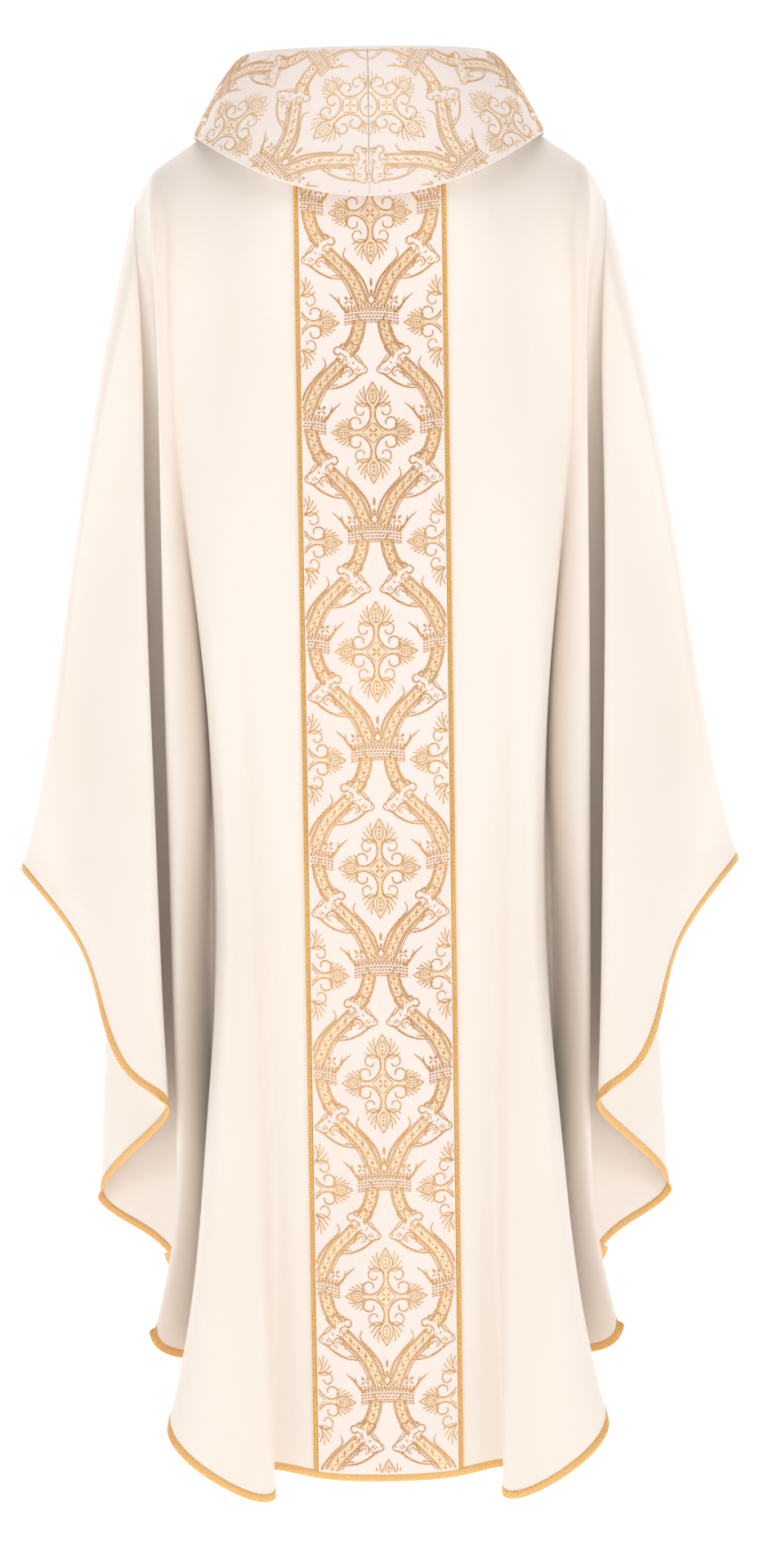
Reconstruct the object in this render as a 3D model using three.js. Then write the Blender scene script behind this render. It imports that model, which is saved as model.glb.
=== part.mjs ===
// Chasuble with a wide roll collar: a full, unlined vestment that hangs in soft folds from the wearer's
// neck, shoulders and arms. Millimetres, +Z up. The wearer faces +Y, so the back of the garment faces -Y
// and +X is the wearer's right. The origin is the centre of the neck opening, at the neckline seam.
//
// Each half of the back and front is drawn as a net of fold lines. Every line hangs from the top edge,
// which is the neckline, then the shoulder, then the ridge over the arm, and it ends at the hem.
// u counts the lines from the centre (0) to the sleeve tip, and t runs from the top edge (0) to the hem (1).

import * as THREE from "three";
import { mergeVertices } from "three/addons/utils/BufferGeometryUtils.js";

// Driving dimensions
const SLEEVE_REACH = 325; // centre to sleeve tip, before the binding
const BACK_LENGTH = 1219; // neckline seam to the centre back hem, before the binding
const BACK_DEPTH = 154; // centre of the neck to the back cloth at the hem
const FRONT_DEPTH_SHARE = 0.9; // the front hangs a little closer to the wearer
const FRONT_DROP_SHARE = 0.985; // and a little shorter
const NECK_HALF_WIDTH = 104;
const NECK_HALF_DEPTH = 84;
const NECK_FRONT_DROP = 26; // the neckline dips at the centre front
const CLOTH = 2.4; // solid thickness of a cloth panel
const ORPHREY_WIDTH = 124;
const ORPHREY_THICKNESS = 1.6;
const BRAID_WIDTH = 3.6;
const BRAID_THICKNESS = 2.4;
const BINDING_WIDTH = 6;
const BINDING_THICKNESS = 3;
const COLLAR_RISE = 38; // neckline seam to the top of the roll
const COLLAR_LEAN = 9; // the roll stands this much wider than the neckline, at the shoulders
const COLLAR_SWELL = 4; // the fall bows out this much between the roll and the free edge
const COLLAR_FALL_BACK = 130; // top of the roll to the free edge at the centre back
const COLLAR_FALL_FRONT = 178;
const COLLAR_REACH_SIDE = 157; // centre to the free edge at the shoulder
const COLLAR_STAND_OFF = 20; // centre back cloth to the free edge
const COLLAR_FULLNESS = 0.8; // below 1, the free edge is fuller than an ellipse
const COLLAR_REST = 5; // height of the free edge over the shoulder
const COLLAR_CLOTH = 2.4;
const COLLAR_FACING = 1.6;
const NECKBAND_HEIGHT = 12;
const NECKBAND_THICKNESS = 2;
const GAP = 0.35; // left between pieces that touch
const HEM_GAP = 2; // left between the hem edge and its binding, which turn different corners in the folds
const BREAK_GAP = 5; // left beside the deep valley, between the centre panel and the side fall

// The fold lines were drawn for a cloth of this reach, length and depth
const DRAWN = { reach: 325, length: 1219, depth: 154 };
// Top edge from the side of the neck to the sleeve tip: [across, height]
const RIDGE = [
  [104, -4], [138, -28], [160, -44], [174, -53], [184, -60], [192, -66], [198, -74], [203, -83],
  [208, -94], [213, -108], [236, -212], [266, -380], [292, -540], [311, -640], [325, -688],
];
// Where the first lines leave the neckline, from the centre back; the second is the orphrey's edge
const EDGE_LINE = 1;
const NECK_ANGLES = [0, THREE.MathUtils.radToDeg(Math.asin(ORPHREY_WIDTH / 2 / NECK_HALF_WIDTH)), 62, 90];
const FIRST_RIDGE_LINE = NECK_ANGLES.length - 1;
// Drop over which each line rounds off the shoulder or the arm
const ROUND_DROPS = [100, 110, 150, 160, 150, 130, 120, 100, 90, 84, 80, 76, 72, 60, 50, 44, 30, 20];
// Points down each line: [height, across, depth], the last of them on the hem
const FOLD_LINES = [
  /* centre      */ [[-110, 0, 116], [-340, 0, 134], [-620, 0, 140], [-900, 0, 146], [-1219, 0, 154]],
  /* band edge   */ [[-110, 62, 114], [-340, 62, 133], [-620, 62, 140], [-900, 62, 146], [-1215, 62, 154]],
  /* soft valley */ [[-110, 88, 108], [-340, 98, 131], [-620, 98, 137], [-900, 96, 142], [-1210, 104, 148]],
  /* fold, inner */ [[-110, 108, 100], [-340, 118, 131], [-620, 114, 146], [-900, 108, 160],
    [-1226, 101, 176]],
  /* fold, crown */ [[-110, 136, 86], [-340, 140, 124], [-620, 127, 150], [-900, 130, 170],
    [-1216, 140, 184]],
  /* fold, outer */ [[-110, 166, 76], [-340, 163, 108], [-620, 141, 136], [-760, 141, 144], [-900, 154, 152],
    [-1100, 178, 158], [-1162, 192, 162]],
  /* deep valley */ [[-110, 176, 74], [-340, 170, 92], [-530, 152, 78], [-700, 150, 60], [-900, 152, 56],
    [-1050, 148, 66], [-1132, 150, 80]],
  /* column      */ [[-110, 184, 74], [-340, 177, 98], [-600, 160, 100], [-740, 169, 104], [-900, 170, 104],
    [-1040, 178, 106], [-1114, 188, 112]],
  /* column edge */ [[-200, 188, 92], [-340, 187, 104], [-620, 186, 108], [-880, 184, 108],
    [-1020, 190, 112], [-1085, 203, 122]],
  /* tucked fold */ [[-200, 190, 82], [-340, 184, 84], [-620, 178, 80], [-880, 176, 76], [-1055, 184, 80]],
  /* underarm    */ [[-200, 200, 72], [-340, 204, 66], [-620, 208, 58], [-880, 212, 50], [-1016, 214, 52]],
  /* underarm fold */ [[-200, 210, 70], [-340, 220, 62], [-620, 234, 50], [-840, 249, 44], [-974, 256, 44]],
  /* sleeve fold */ [[-200, 204, 80], [-340, 202, 98], [-620, 198, 118], [-800, 195, 126], [-893, 192, 132]],
  /* sleeve      */ [[-340, 232, 96], [-620, 228, 118], [-856, 221, 134]],
  /* sleeve      */ [[-560, 262, 84], [-790, 250, 108]],
  /* sleeve      */ [[-740, 274, 70]],
  /* sleeve      */ [[-699, 312, 26]],
  /* sleeve tip  */ [],
];
const LAST_LINE = FOLD_LINES.length - 1;
const BREAK_LINE = 6.5; // beside the deep valley, where the side fall hinges away from the centre panel
const DROP_POWER = 1.8; // rows crowd together near the top edge
const TOP_BLEND_POWER = 8; // how soon a row leaves the exact top edge

// Mesh density
const ROWS = 11;
const STEPS_PER_LINE = 2;
const COLLAR_STEPS = 14;
const COLLAR_ROWS = 4;
const SLOPE_STEP = 0.002; // finite step used to find a surface's directions

const IVORY = { color: 0xf3ece3, roughness: 0.72, metalness: 0 };
const BROCADE = { color: 0xe9d3ae, roughness: 0.6, metalness: 0.1 };
const LINING = { color: 0xeee4d6, roughness: 0.75, metalness: 0 };
const GOLD = { color: 0xd9a85a, roughness: 0.45, metalness: 0.4 };

const group = new THREE.Group();

/** Smooth curve through (knots, values) with free ends; returns value(at). */
function smoothCurve(knots, values) {
  const last = knots.length - 1;
  const bend = new Array(knots.length).fill(0);
  const carry = new Array(knots.length).fill(0);
  for (let i = 1; i < last; i += 1) {
    const before = knots[i] - knots[i - 1];
    const after = knots[i + 1] - knots[i];
    const pivot = 2 * (before + after) - before * carry[i - 1];
    carry[i] = after / pivot;
    const turn = (values[i + 1] - values[i]) / after - (values[i] - values[i - 1]) / before;
    bend[i] = (6 * turn - before * bend[i - 1]) / pivot;
  }
  for (let i = last - 1; i > 0; i -= 1) {
    bend[i] -= carry[i] * bend[i + 1];
  }
  return (at) => {
    let i = 0;
    while (i < last - 1 && at > knots[i + 1]) {
      i += 1;
    }
    const span = knots[i + 1] - knots[i];
    const near = (knots[i + 1] - at) / span;
    const far = (at - knots[i]) / span;
    const sag = ((near ** 3 - near) * bend[i] + (far ** 3 - far) * bend[i + 1]) * (span ** 2 / 6);
    return near * values[i] + far * values[i + 1] + sag;
  };
}

/** Even list of count + 1 numbers from low to high. */
function evenly(low, high, count) {
  return Array.from({ length: count + 1 }, (_, i) => low + ((high - low) * i) / count);
}

// The net, worked out for the real reach, length and depth
const acrossScale = SLEEVE_REACH / DRAWN.reach;
const heightScale = BACK_LENGTH / DRAWN.length;
const depthScale = BACK_DEPTH / DRAWN.depth;
const ridgeKnots = RIDGE.map((_, i) => FIRST_RIDGE_LINE + i);
const ridgeAcross = smoothCurve(ridgeKnots, RIDGE.map((point) => point[0]));
const ridgeHeight = smoothCurve(ridgeKnots, RIDGE.map((point) => point[1] * heightScale));
const neckAngle = smoothCurve(NECK_ANGLES.map((_, i) => i), NECK_ANGLES);

/** The ridge runs from the side of the neck, whatever its width, to the sleeve tip. */
function ridgeReach(u) {
  const share = (ridgeAcross(u) - RIDGE[0][0]) / (DRAWN.reach - RIDGE[0][0]);
  return NECK_HALF_WIDTH + share * (SLEEVE_REACH - NECK_HALF_WIDTH);
}

/** Height of the ridge at a distance from the centre. */
function shoulderHeight(reach) {
  const line = evenly(FIRST_RIDGE_LINE, LAST_LINE, 200).find((u) => ridgeReach(u) >= reach);
  return ridgeHeight(line);
}

/** Height of the neckline seam at an angle from the centre back; cosine is -1 at the centre front. */
function neckHeight(cosine) {
  const dip = cosine < 0 ? NECK_FRONT_DROP : 0;
  return ridgeHeight(FIRST_RIDGE_LINE) - dip * cosine ** 2;
}

/** Top edge of a half: [across, depth, height] at line u. */
function topEdge(u, front) {
  if (u > FIRST_RIDGE_LINE) {
    return [ridgeReach(u), 0, ridgeHeight(u)];
  }
  const angle = THREE.MathUtils.degToRad(neckAngle(u));
  const cosine = Math.max(Math.cos(angle), 0);
  return [NECK_HALF_WIDTH * Math.sin(angle), NECK_HALF_DEPTH * cosine, neckHeight(front ? -cosine : cosine)];
}

/** One fold line as a function of t, in [across, depth, height]. */
function foldLine(index, front) {
  const top = topEdge(index, front);
  const points = FOLD_LINES[index];
  if (points.length === 0) {
    return () => top;
  }
  const depthShare = depthScale * (front ? FRONT_DEPTH_SHARE : 1);
  const dropShare = front ? FRONT_DROP_SHARE : 1;
  const heights = points.map((point) => top[2] + (point[0] * heightScale - top[2]) * dropShare);
  const falls = [0, ...heights.map((height) => top[2] - height)];
  const reaches = points.map((point) => (index === EDGE_LINE ? ORPHREY_WIDTH / 2 : point[1] * acrossScale));
  const across = smoothCurve(falls, [top[0], ...reaches]);
  const depth = smoothCurve(falls, [points[0][2], ...points.map((point) => point[2])]);
  return (t) => {
    const fall = falls[falls.length - 1] * t ** DROP_POWER;
    const turned = 1 - Math.min(fall / ROUND_DROPS[index], 1);
    const round = Math.sqrt(Math.max(1 - turned ** 2, 0));
    return [across(fall), top[1] + (depth(fall) * depthShare - top[1]) * round, top[2] - fall];
  };
}

const nets = [false, true].map((front) => FOLD_LINES.map((_, index) => foldLine(index, front)));
const rowCache = new Map();

/** Smooth curves across all fold lines at one t. */
function rowCurves(front, t) {
  const key = `${front}:${t}`;
  if (!rowCache.has(key)) {
    const points = nets[front ? 1 : 0].map((line) => line(t));
    const knots = points.map((_, i) => i);
    rowCache.set(key, [0, 1, 2].map((k) => smoothCurve(knots, points.map((point) => point[k]))));
  }
  return rowCache.get(key);
}

/** Point of the cloth's middle surface for one half: side is -1 left or +1 right. */
function clothPoint(side, front, u, t) {
  const here = rowCurves(front, t);
  const start = rowCurves(front, 0);
  const top = topEdge(u, front);
  const hold = (1 - t) ** TOP_BLEND_POWER;
  const [across, depth, height] = here.map((curve, k) => curve(u) + (top[k] - start[k](u)) * hold);
  return new THREE.Vector3(side * across, front ? depth : -depth, height);
}

/** Unit directions along u and t and the outward normal of the cloth. */
function clothFrame(side, front, u, t) {
  const lowU = Math.max(u - SLOPE_STEP, 0);
  const highU = Math.min(u + SLOPE_STEP, LAST_LINE);
  const lowT = Math.max(t - SLOPE_STEP, 0);
  const highT = Math.min(t + SLOPE_STEP, 1);
  const slopeLine = Math.min(u, LAST_LINE - SLOPE_STEP);
  const acrossCloth = clothPoint(side, front, highU, t).sub(clothPoint(side, front, lowU, t)).normalize();
  const downCloth = clothPoint(side, front, slopeLine, highT)
    .sub(clothPoint(side, front, slopeLine, lowT)).normalize();
  const facing = side * (front ? -1 : 1);
  const normal = new THREE.Vector3().crossVectors(downCloth, acrossCloth).multiplyScalar(facing).normalize();
  return { acrossCloth, downCloth, normal };
}

/** Adds a closed mesh from loops of points: a grid of sections, each a ring of corners, with end caps. */
function addSolid(name, finish, sections) {
  const corners = sections[0].length;
  const points = sections.flat();
  const faces = [];
  for (let i = 0; i + 1 < sections.length; i += 1) {
    for (let k = 0; k < corners; k += 1) {
      const next = (k + 1) % corners;
      const [a, b] = [i * corners + k, i * corners + next];
      faces.push(...splitQuad(points, a, b, b + corners, a + corners));
    }
  }
  // a cap is a strip between the outer half and the inner half of the ring
  for (const [base, flip] of [[0, true], [(sections.length - 1) * corners, false]]) {
    for (let k = 0; k + 1 < corners / 2; k += 1) {
      const [a, b] = [base + k, base + k + 1];
      const [c, d] = [base + corners - 1 - k, base + corners - 2 - k];
      faces.push(...(flip ? splitQuad(points, a, c, d, b) : splitQuad(points, a, b, d, c)));
    }
  }
  addMesh(name, finish, points, faces);
}

/** Two triangles for a four-sided face, split along its shorter diagonal. */
function splitQuad(points, a, b, c, d) {
  const alongFirst = points[a].distanceTo(points[c]) <= points[b].distanceTo(points[d]);
  return alongFirst ? [[a, b, c], [a, c, d]] : [[a, b, d], [b, c, d]];
}

/** Merges shared corners, drops collapsed faces, turns the solid outward and adds it to the group. */
function addMesh(name, finish, points, faces) {
  const loose = new THREE.BufferGeometry().setFromPoints(points);
  loose.setIndex(faces.flat());
  const merged = mergeVertices(loose, 1e-3);
  const index = merged.getIndex().array;
  const place = (i) => new THREE.Vector3().fromBufferAttribute(merged.getAttribute("position"), i);
  const kept = [];
  let volume = 0;
  for (let i = 0; i < index.length; i += 3) {
    const [a, b, c] = [index[i], index[i + 1], index[i + 2]];
    if (a !== b && b !== c && a !== c) {
      kept.push([a, b, c]);
      volume += place(a).dot(place(b).cross(place(c))) / 6;
    }
  }
  const outward = volume > 0 ? kept : kept.map(([a, b, c]) => [a, c, b]);
  merged.setIndex(outward.flat());
  const mesh = new THREE.Mesh(merged, new THREE.MeshStandardMaterial(finish));
  mesh.name = name;
  group.add(mesh);
}

/** Ring of corners of a flat piece: down the outer face, then back up the inner face. */
function flatSection(points, normals, low, high) {
  const outer = points.map((point, i) => point.clone().addScaledVector(normals[i], high));
  const inner = points.map((point, i) => point.clone().addScaledVector(normals[i], low));
  return [...outer, ...inner.reverse()];
}

/** A piece that lies on the cloth: columns of [u at t], rows of t, between two heights over the cloth. */
function addCloth(name, finish, { side, front, columns, rows, low, high, trimEnds }) {
  const sections = columns.map((lineAt, column) => {
    const points = [];
    const normals = [];
    rows.forEach((t, row) => {
      const u = lineAt(t);
      const { acrossCloth, downCloth, normal } = clothFrame(side, front, u, t);
      const point = clothPoint(side, front, u, t);
      const isTip = u === LAST_LINE;
      const trim = (u === BREAK_LINE ? BREAK_GAP : GAP) / 2;
      if (trimEnds && column === 0) {
        point.addScaledVector(acrossCloth, trim);
      }
      if (trimEnds && column === columns.length - 1 && !isTip) {
        point.addScaledVector(acrossCloth, -trim);
      }
      if (trimEnds && row === 0 && !isTip) {
        point.addScaledVector(downCloth, GAP / 2);
      }
      points.push(point);
      normals.push(normal);
    });
    return flatSection(points, normals, low, high);
  });
  if (trimEnds) {
    clearMirrorPlanes(sections, side, front);
  }
  addSolid(name, finish, sections);
}

/** Keeps a quarter of the garment on its own side of the two centre planes. */
function clearMirrorPlanes(sections, side, front) {
  const faceSide = front ? 1 : -1;
  for (const point of sections.flat()) {
    point.x = side * Math.max(side * point.x, GAP / 2);
    point.y = faceSide * Math.max(faceSide * point.y, GAP / 2);
  }
}

/** Line u at which the cloth is a given distance across from the centre, at row t. */
function lineAtWidth(front, width) {
  return (t) => {
    let [low, high] = [0, BREAK_LINE / 2];
    for (let pass = 0; pass < 30; pass += 1) {
      const middle = (low + high) / 2;
      if (clothPoint(1, front, middle, t).x < width) {
        low = middle;
      } else {
        high = middle;
      }
    }
    return (low + high) / 2;
  };
}

/** Names: the wearer's own right is +X, and the wearer faces +Y. */
const sideName = (side) => (side > 0 ? "right" : "left");
const faceName = (front) => (front ? "front" : "back");
const halves = [-1, 1].flatMap((side) => [false, true].map((front) => ({ side, front })));
const clothRows = evenly(0, 1, ROWS);

/** Centre panels from the centre line to the deep valley, and side falls from there to the sleeve tip. */
function addPanels({ side, front }) {
  const spans = [
    [`${faceName(front)}_${sideName(side)}_panel`, 0, BREAK_LINE],
    [`${faceName(front)}_${sideName(side)}_side_fall`, BREAK_LINE, LAST_LINE],
  ];
  for (const [name, from, to] of spans) {
    const columns = evenly(from, to, (to - from) * STEPS_PER_LINE).map((u) => () => u);
    addCloth(name, IVORY, {
      side, front, columns, rows: clothRows, low: -CLOTH / 2, high: CLOTH / 2, trimEnds: true,
    });
  }
}

/** The binding is a flat strip that runs on from the hem edge, square to it. */
function addBinding({ side, front }) {
  const spans = [
    [`${faceName(front)}_${sideName(side)}_hem_binding`, 0, BREAK_LINE],
    [`${faceName(front)}_${sideName(side)}_side_hem_binding`, BREAK_LINE, LAST_LINE],
  ];
  for (const [name, from, to] of spans) {
    const lines = evenly(from, to, (to - from) * STEPS_PER_LINE);
    const edges = lines.map((u) => clothPoint(side, front, u, 1));
    const sections = lines.map((u, i) => {
      const { downCloth, normal } = clothFrame(side, front, u, 1);
      const [before, after] = [edges[Math.max(i - 1, 0)], edges[Math.min(i + 1, lines.length - 1)]];
      const along = after.clone().sub(before).normalize();
      const square = new THREE.Vector3().crossVectors(along, normal).normalize();
      square.multiplyScalar(Math.sign(square.dot(downCloth)));
      const outOfHem = u === BREAK_LINE ? downCloth : square;
      const edge = edges[i].clone().addScaledVector(along, HEM_GAP * ((i === 0) - (i === lines.length - 1)));
      const points = [HEM_GAP, HEM_GAP + BINDING_WIDTH].map((reach) => (
        edge.clone().addScaledVector(outOfHem, reach)
      ));
      return flatSection(points, [normal, normal], -BINDING_THICKNESS / 2, BINDING_THICKNESS / 2);
    });
    clearMirrorPlanes(sections, side, front);
    addSolid(name, GOLD, sections);
  }
}

/** The orphrey is one band down the centre, sewn on top of both halves of the cloth. */
function addOrphrey(front) {
  const low = CLOTH / 2 + GAP;
  const rows = clothRows.slice(1);
  const half = evenly(0, EDGE_LINE, EDGE_LINE * STEPS_PER_LINE);
  const columns = [...half.slice(1).reverse().map((u) => [-1, u]), ...half.map((u) => [1, u])];
  const sections = columns.map(([side, u]) => {
    const points = rows.map((t) => clothPoint(side, front, u, t));
    const normals = rows.map((t) => clothFrame(side, front, u, t).normal);
    if (u === 0) {
      normals.forEach((normal) => normal.setX(0).normalize());
    }
    return flatSection(points, normals, low, low + ORPHREY_THICKNESS);
  });
  addSolid(`${faceName(front)}_orphrey`, BROCADE, sections);
}

/** A narrow braid runs down each edge of the orphrey. */
function addBraid({ side, front }) {
  const inner = ORPHREY_WIDTH / 2 + GAP;
  const columns = [inner, inner + BRAID_WIDTH].map((width) => lineAtWidth(front, width));
  const low = CLOTH / 2 + GAP;
  addCloth(`${faceName(front)}_${sideName(side)}_braid`, GOLD, {
    side, front, columns, rows: clothRows.slice(1), low, high: low + BRAID_THICKNESS, trimEnds: false,
  });
}

/** Rings of the collar at an angle from the centre back: [across, along, height]. */
function neckRing(angle, inset) {
  const cosine = Math.cos(angle);
  const [across, depth] = [NECK_HALF_WIDTH - inset, NECK_HALF_DEPTH - inset];
  return new THREE.Vector3(across * Math.sin(angle), -depth * cosine, neckHeight(cosine));
}

function rollRing(angle) {
  const seam = neckRing(angle, 1);
  return seam.setX(seam.x + COLLAR_LEAN * Math.sin(angle)).setZ(seam.z + COLLAR_RISE);
}

/** Depth of the back cloth on its centre line, at a height. */
function backDepthAt(height) {
  const line = nets[0][0];
  const row = evenly(0, 1, 400).find((t) => line(t)[2] <= height);
  return line(row)[1];
}

const rollHeight = ridgeHeight(FIRST_RIDGE_LINE) + COLLAR_RISE;
const collarDepth = backDepthAt(rollHeight - COLLAR_FALL_BACK) + COLLAR_STAND_OFF;

function edgeRing(angle) {
  const cosine = Math.cos(angle);
  const fallCentre = cosine < 0 ? COLLAR_FALL_FRONT : COLLAR_FALL_BACK;
  const fallSide = rollHeight - shoulderHeight(COLLAR_REACH_SIDE) - COLLAR_REST;
  const fall = fallSide + (fallCentre - fallSide) * cosine ** 2;
  const depth = collarDepth * Math.sign(cosine) * Math.abs(cosine) ** COLLAR_FULLNESS;
  return new THREE.Vector3(COLLAR_REACH_SIDE * Math.sin(angle), -depth, rollHeight - fall);
}

/** The collar falls outward from the roll and swells a little on the way. */
function collarPoint(angle, v) {
  const swell = COLLAR_SWELL * Math.sin(Math.PI * v ** 0.7);
  const roll = rollRing(angle);
  const out = new THREE.Vector3(roll.x, roll.y, 0).normalize();
  return roll.lerp(edgeRing(angle), v).addScaledVector(out, swell).add(new THREE.Vector3(0, 0, swell / 2));
}

/** One half of a ring-shaped piece, from the centre back to the centre front. */
function addHalfRing(name, finish, side, pointAt, shares, low, high) {
  const angles = evenly(0, Math.PI, COLLAR_STEPS);
  const sections = angles.map((angle) => {
    const normals = shares.map((share) => {
      const alongRing = pointAt(angle + SLOPE_STEP, share).sub(pointAt(angle - SLOPE_STEP, share));
      const alongShare = pointAt(angle, share + SLOPE_STEP).sub(pointAt(angle, share - SLOPE_STEP));
      return alongRing.cross(alongShare).normalize();
    });
    return flatSection(shares.map((share) => pointAt(angle, share)), normals, low, high);
  });
  for (const point of sections.flat()) {
    point.x = side * Math.max(point.x, GAP / 2);
  }
  addSolid(name, finish, sections);
}

/** Collar: an outer half of brocade that falls, and a facing inside it that rises from the neckline. */
function addCollarHalf(side) {
  const fallShares = evenly(0, 1, COLLAR_ROWS).map((v) => v * 0.98 + 0.02);
  addHalfRing(`collar_${sideName(side)}`, BROCADE, side, collarPoint, fallShares, -COLLAR_CLOTH, 0);
  const standPoint = (angle, v) => neckRing(angle, 4).lerp(rollRing(angle).addScaledVector(
    rollRing(angle).setZ(0).normalize(), -3), v);
  addHalfRing(`collar_facing_${sideName(side)}`, LINING, side, standPoint, [0.05, 0.5, 1], 0, COLLAR_FACING);
}

/** The neckband lines the neckline seam all the way round. */
function addNeckband() {
  const bandPoint = (angle, v) => {
    const middle = neckRing(angle, 8);
    return middle.setZ(middle.z + (v - 0.5) * NECKBAND_HEIGHT);
  };
  const angles = evenly(0, 2 * Math.PI, COLLAR_STEPS * 2);
  const corners = [0, 1];
  const sections = angles.map((angle) => {
    const outward = new THREE.Vector3(Math.sin(angle), -Math.cos(angle), 0);
    return flatSection(corners.map((v) => bandPoint(angle, v)), [outward, outward], -NECKBAND_THICKNESS, 0);
  });
  addRing("neckband", LINING, sections);
}

/** A closed ring: the last section is the first one again, so there are no caps. */
function addRing(name, finish, sections) {
  const corners = sections[0].length;
  const points = sections.slice(0, -1).flat();
  const count = sections.length - 1;
  const faces = [];
  for (let i = 0; i < count; i += 1) {
    const here = i * corners;
    const there = ((i + 1) % count) * corners;
    for (let k = 0; k < corners; k += 1) {
      const next = (k + 1) % corners;
      faces.push(...splitQuad(points, here + k, here + next, there + next, there + k));
    }
  }
  addMesh(name, finish, points, faces);
}

for (const half of halves) {
  addPanels(half);
  addBinding(half);
  addBraid(half);
}
for (const front of [false, true]) {
  addOrphrey(front);
}
for (const side of [-1, 1]) {
  addCollarHalf(side);
}
addNeckband();

export default group;
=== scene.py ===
"""Chasuble with a wide roll collar and brocade bands, in metres, +Z up.

The wearer faces +Y, so the back of the garment faces -Y and +X is the wearer's right. Each quarter of
the cloth is a net of fold lines: u counts the lines from the centre to the sleeve tip, and t runs from
the top edge to the hem. Every other piece takes its place from the same net.
"""

import logging
import math
from collections.abc import Callable
from dataclasses import dataclass, field
from enum import Enum

import bpy
import numpy as np
from mathutils import Matrix


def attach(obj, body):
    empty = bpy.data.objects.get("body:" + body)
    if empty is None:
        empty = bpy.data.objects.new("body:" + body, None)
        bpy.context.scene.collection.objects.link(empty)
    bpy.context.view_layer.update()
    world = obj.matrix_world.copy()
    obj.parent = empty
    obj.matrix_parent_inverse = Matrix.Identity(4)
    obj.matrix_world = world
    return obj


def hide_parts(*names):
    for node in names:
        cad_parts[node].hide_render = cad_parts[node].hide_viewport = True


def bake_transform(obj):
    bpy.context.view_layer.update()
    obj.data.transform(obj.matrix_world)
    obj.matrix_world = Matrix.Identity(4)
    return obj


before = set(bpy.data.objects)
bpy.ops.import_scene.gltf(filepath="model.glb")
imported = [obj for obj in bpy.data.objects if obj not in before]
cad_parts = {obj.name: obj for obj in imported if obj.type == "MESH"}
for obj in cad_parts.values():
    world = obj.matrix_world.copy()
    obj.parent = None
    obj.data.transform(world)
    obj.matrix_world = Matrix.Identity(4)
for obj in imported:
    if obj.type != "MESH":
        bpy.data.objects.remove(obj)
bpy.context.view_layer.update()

log = logging.getLogger("chasuble")

MM = 0.001
Colour = tuple[float, float, float]
Path = list[tuple[float, float]]


class Face(Enum):
    """Which face of the garment a piece is on; the value is the sign of its depth."""

    BACK = -1
    FRONT = 1


class Side(Enum):
    """The wearer's left is -X and their right is +X."""

    LEFT = -1
    RIGHT = 1


class Weave(Enum):
    """How the threads of a cloth cross."""

    PLAIN = "plain"
    TWILL = "twill"
    SATIN = "satin"
    BRAID = "braid"


def srgb(red: int, green: int, blue: int) -> Colour:
    """Linear colour from the usual 0 to 255 values.

    Args:
        red: Red value.
        green: Green value.
        blue: Blue value.

    Returns:
        The three linear values.
    """
    return tuple((c / 255 / 12.92) if c / 255 < 0.04045 else ((c / 255 + 0.055) / 1.055) ** 2.4
                 for c in (red, green, blue))


# ---------------------------------------------------------------------------------------------
# Materials


class Signal:
    """A shader value that can be combined with ordinary arithmetic."""

    def __init__(self, nodes: "Nodes", socket: bpy.types.NodeSocket) -> None:
        """Keeps the material's nodes and the socket that holds the value."""
        self.nodes = nodes
        self.socket = socket

    def math(self, operation: str, first: "Signal | float", second: "Signal | float" = 0.0) -> "Signal":
        """One step of arithmetic.

        Args:
            operation: Name of the math node's operation.
            first: First value.
            second: Second value, where the operation takes one.

        Returns:
            The result.
        """
        made = self.nodes.add("ShaderNodeMath", {"operation": operation}, {0: first, 1: second})
        return Signal(self.nodes, made.outputs[0])

    def __add__(self, other: "Signal | float") -> "Signal":
        """This value plus another."""
        return self.math("ADD", self, other)

    def __radd__(self, other: "Signal | float") -> "Signal":
        """Another value plus this one."""
        return self.math("ADD", other, self)

    def __sub__(self, other: "Signal | float") -> "Signal":
        """This value less another."""
        return self.math("SUBTRACT", self, other)

    def __rsub__(self, other: "Signal | float") -> "Signal":
        """Another value less this one."""
        return self.math("SUBTRACT", other, self)

    def __mul__(self, other: "Signal | float") -> "Signal":
        """This value times another."""
        return self.math("MULTIPLY", self, other)

    def __rmul__(self, other: "Signal | float") -> "Signal":
        """Another value times this one."""
        return self.math("MULTIPLY", other, self)

    def sine(self) -> "Signal":
        """Sine of the value, in radians."""
        return self.math("SINE", self)

    def size(self) -> "Signal":
        """The value without its sign."""
        return self.math("ABSOLUTE", self)


@dataclass
class Nodes:
    """The nodes of one material."""

    tree: bpy.types.NodeTree

    def add(self, kind: str, settings: dict, inputs: dict) -> bpy.types.Node:
        """Adds a node, sets it up and fills its sockets.

        Args:
            kind: The node's type.
            settings: Its settings, set first.
            inputs: Values, signals or sockets for its inputs, by name or number.

        Returns:
            The node.
        """
        node = self.tree.nodes.new(kind)
        for name, value in settings.items():
            setattr(node, name, value)
        self.fill(node, inputs)
        return node

    def fill(self, node: bpy.types.Node, inputs: dict) -> None:
        """Sets or links a node's inputs.

        Args:
            node: The node.
            inputs: Values, signals or sockets for its inputs, by name or number.
        """
        for name, value in inputs.items():
            value = value.socket if isinstance(value, Signal) else value
            if isinstance(value, bpy.types.NodeSocket):
                self.tree.links.new(value, node.inputs[name])
            else:
                node.inputs[name].default_value = value


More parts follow.
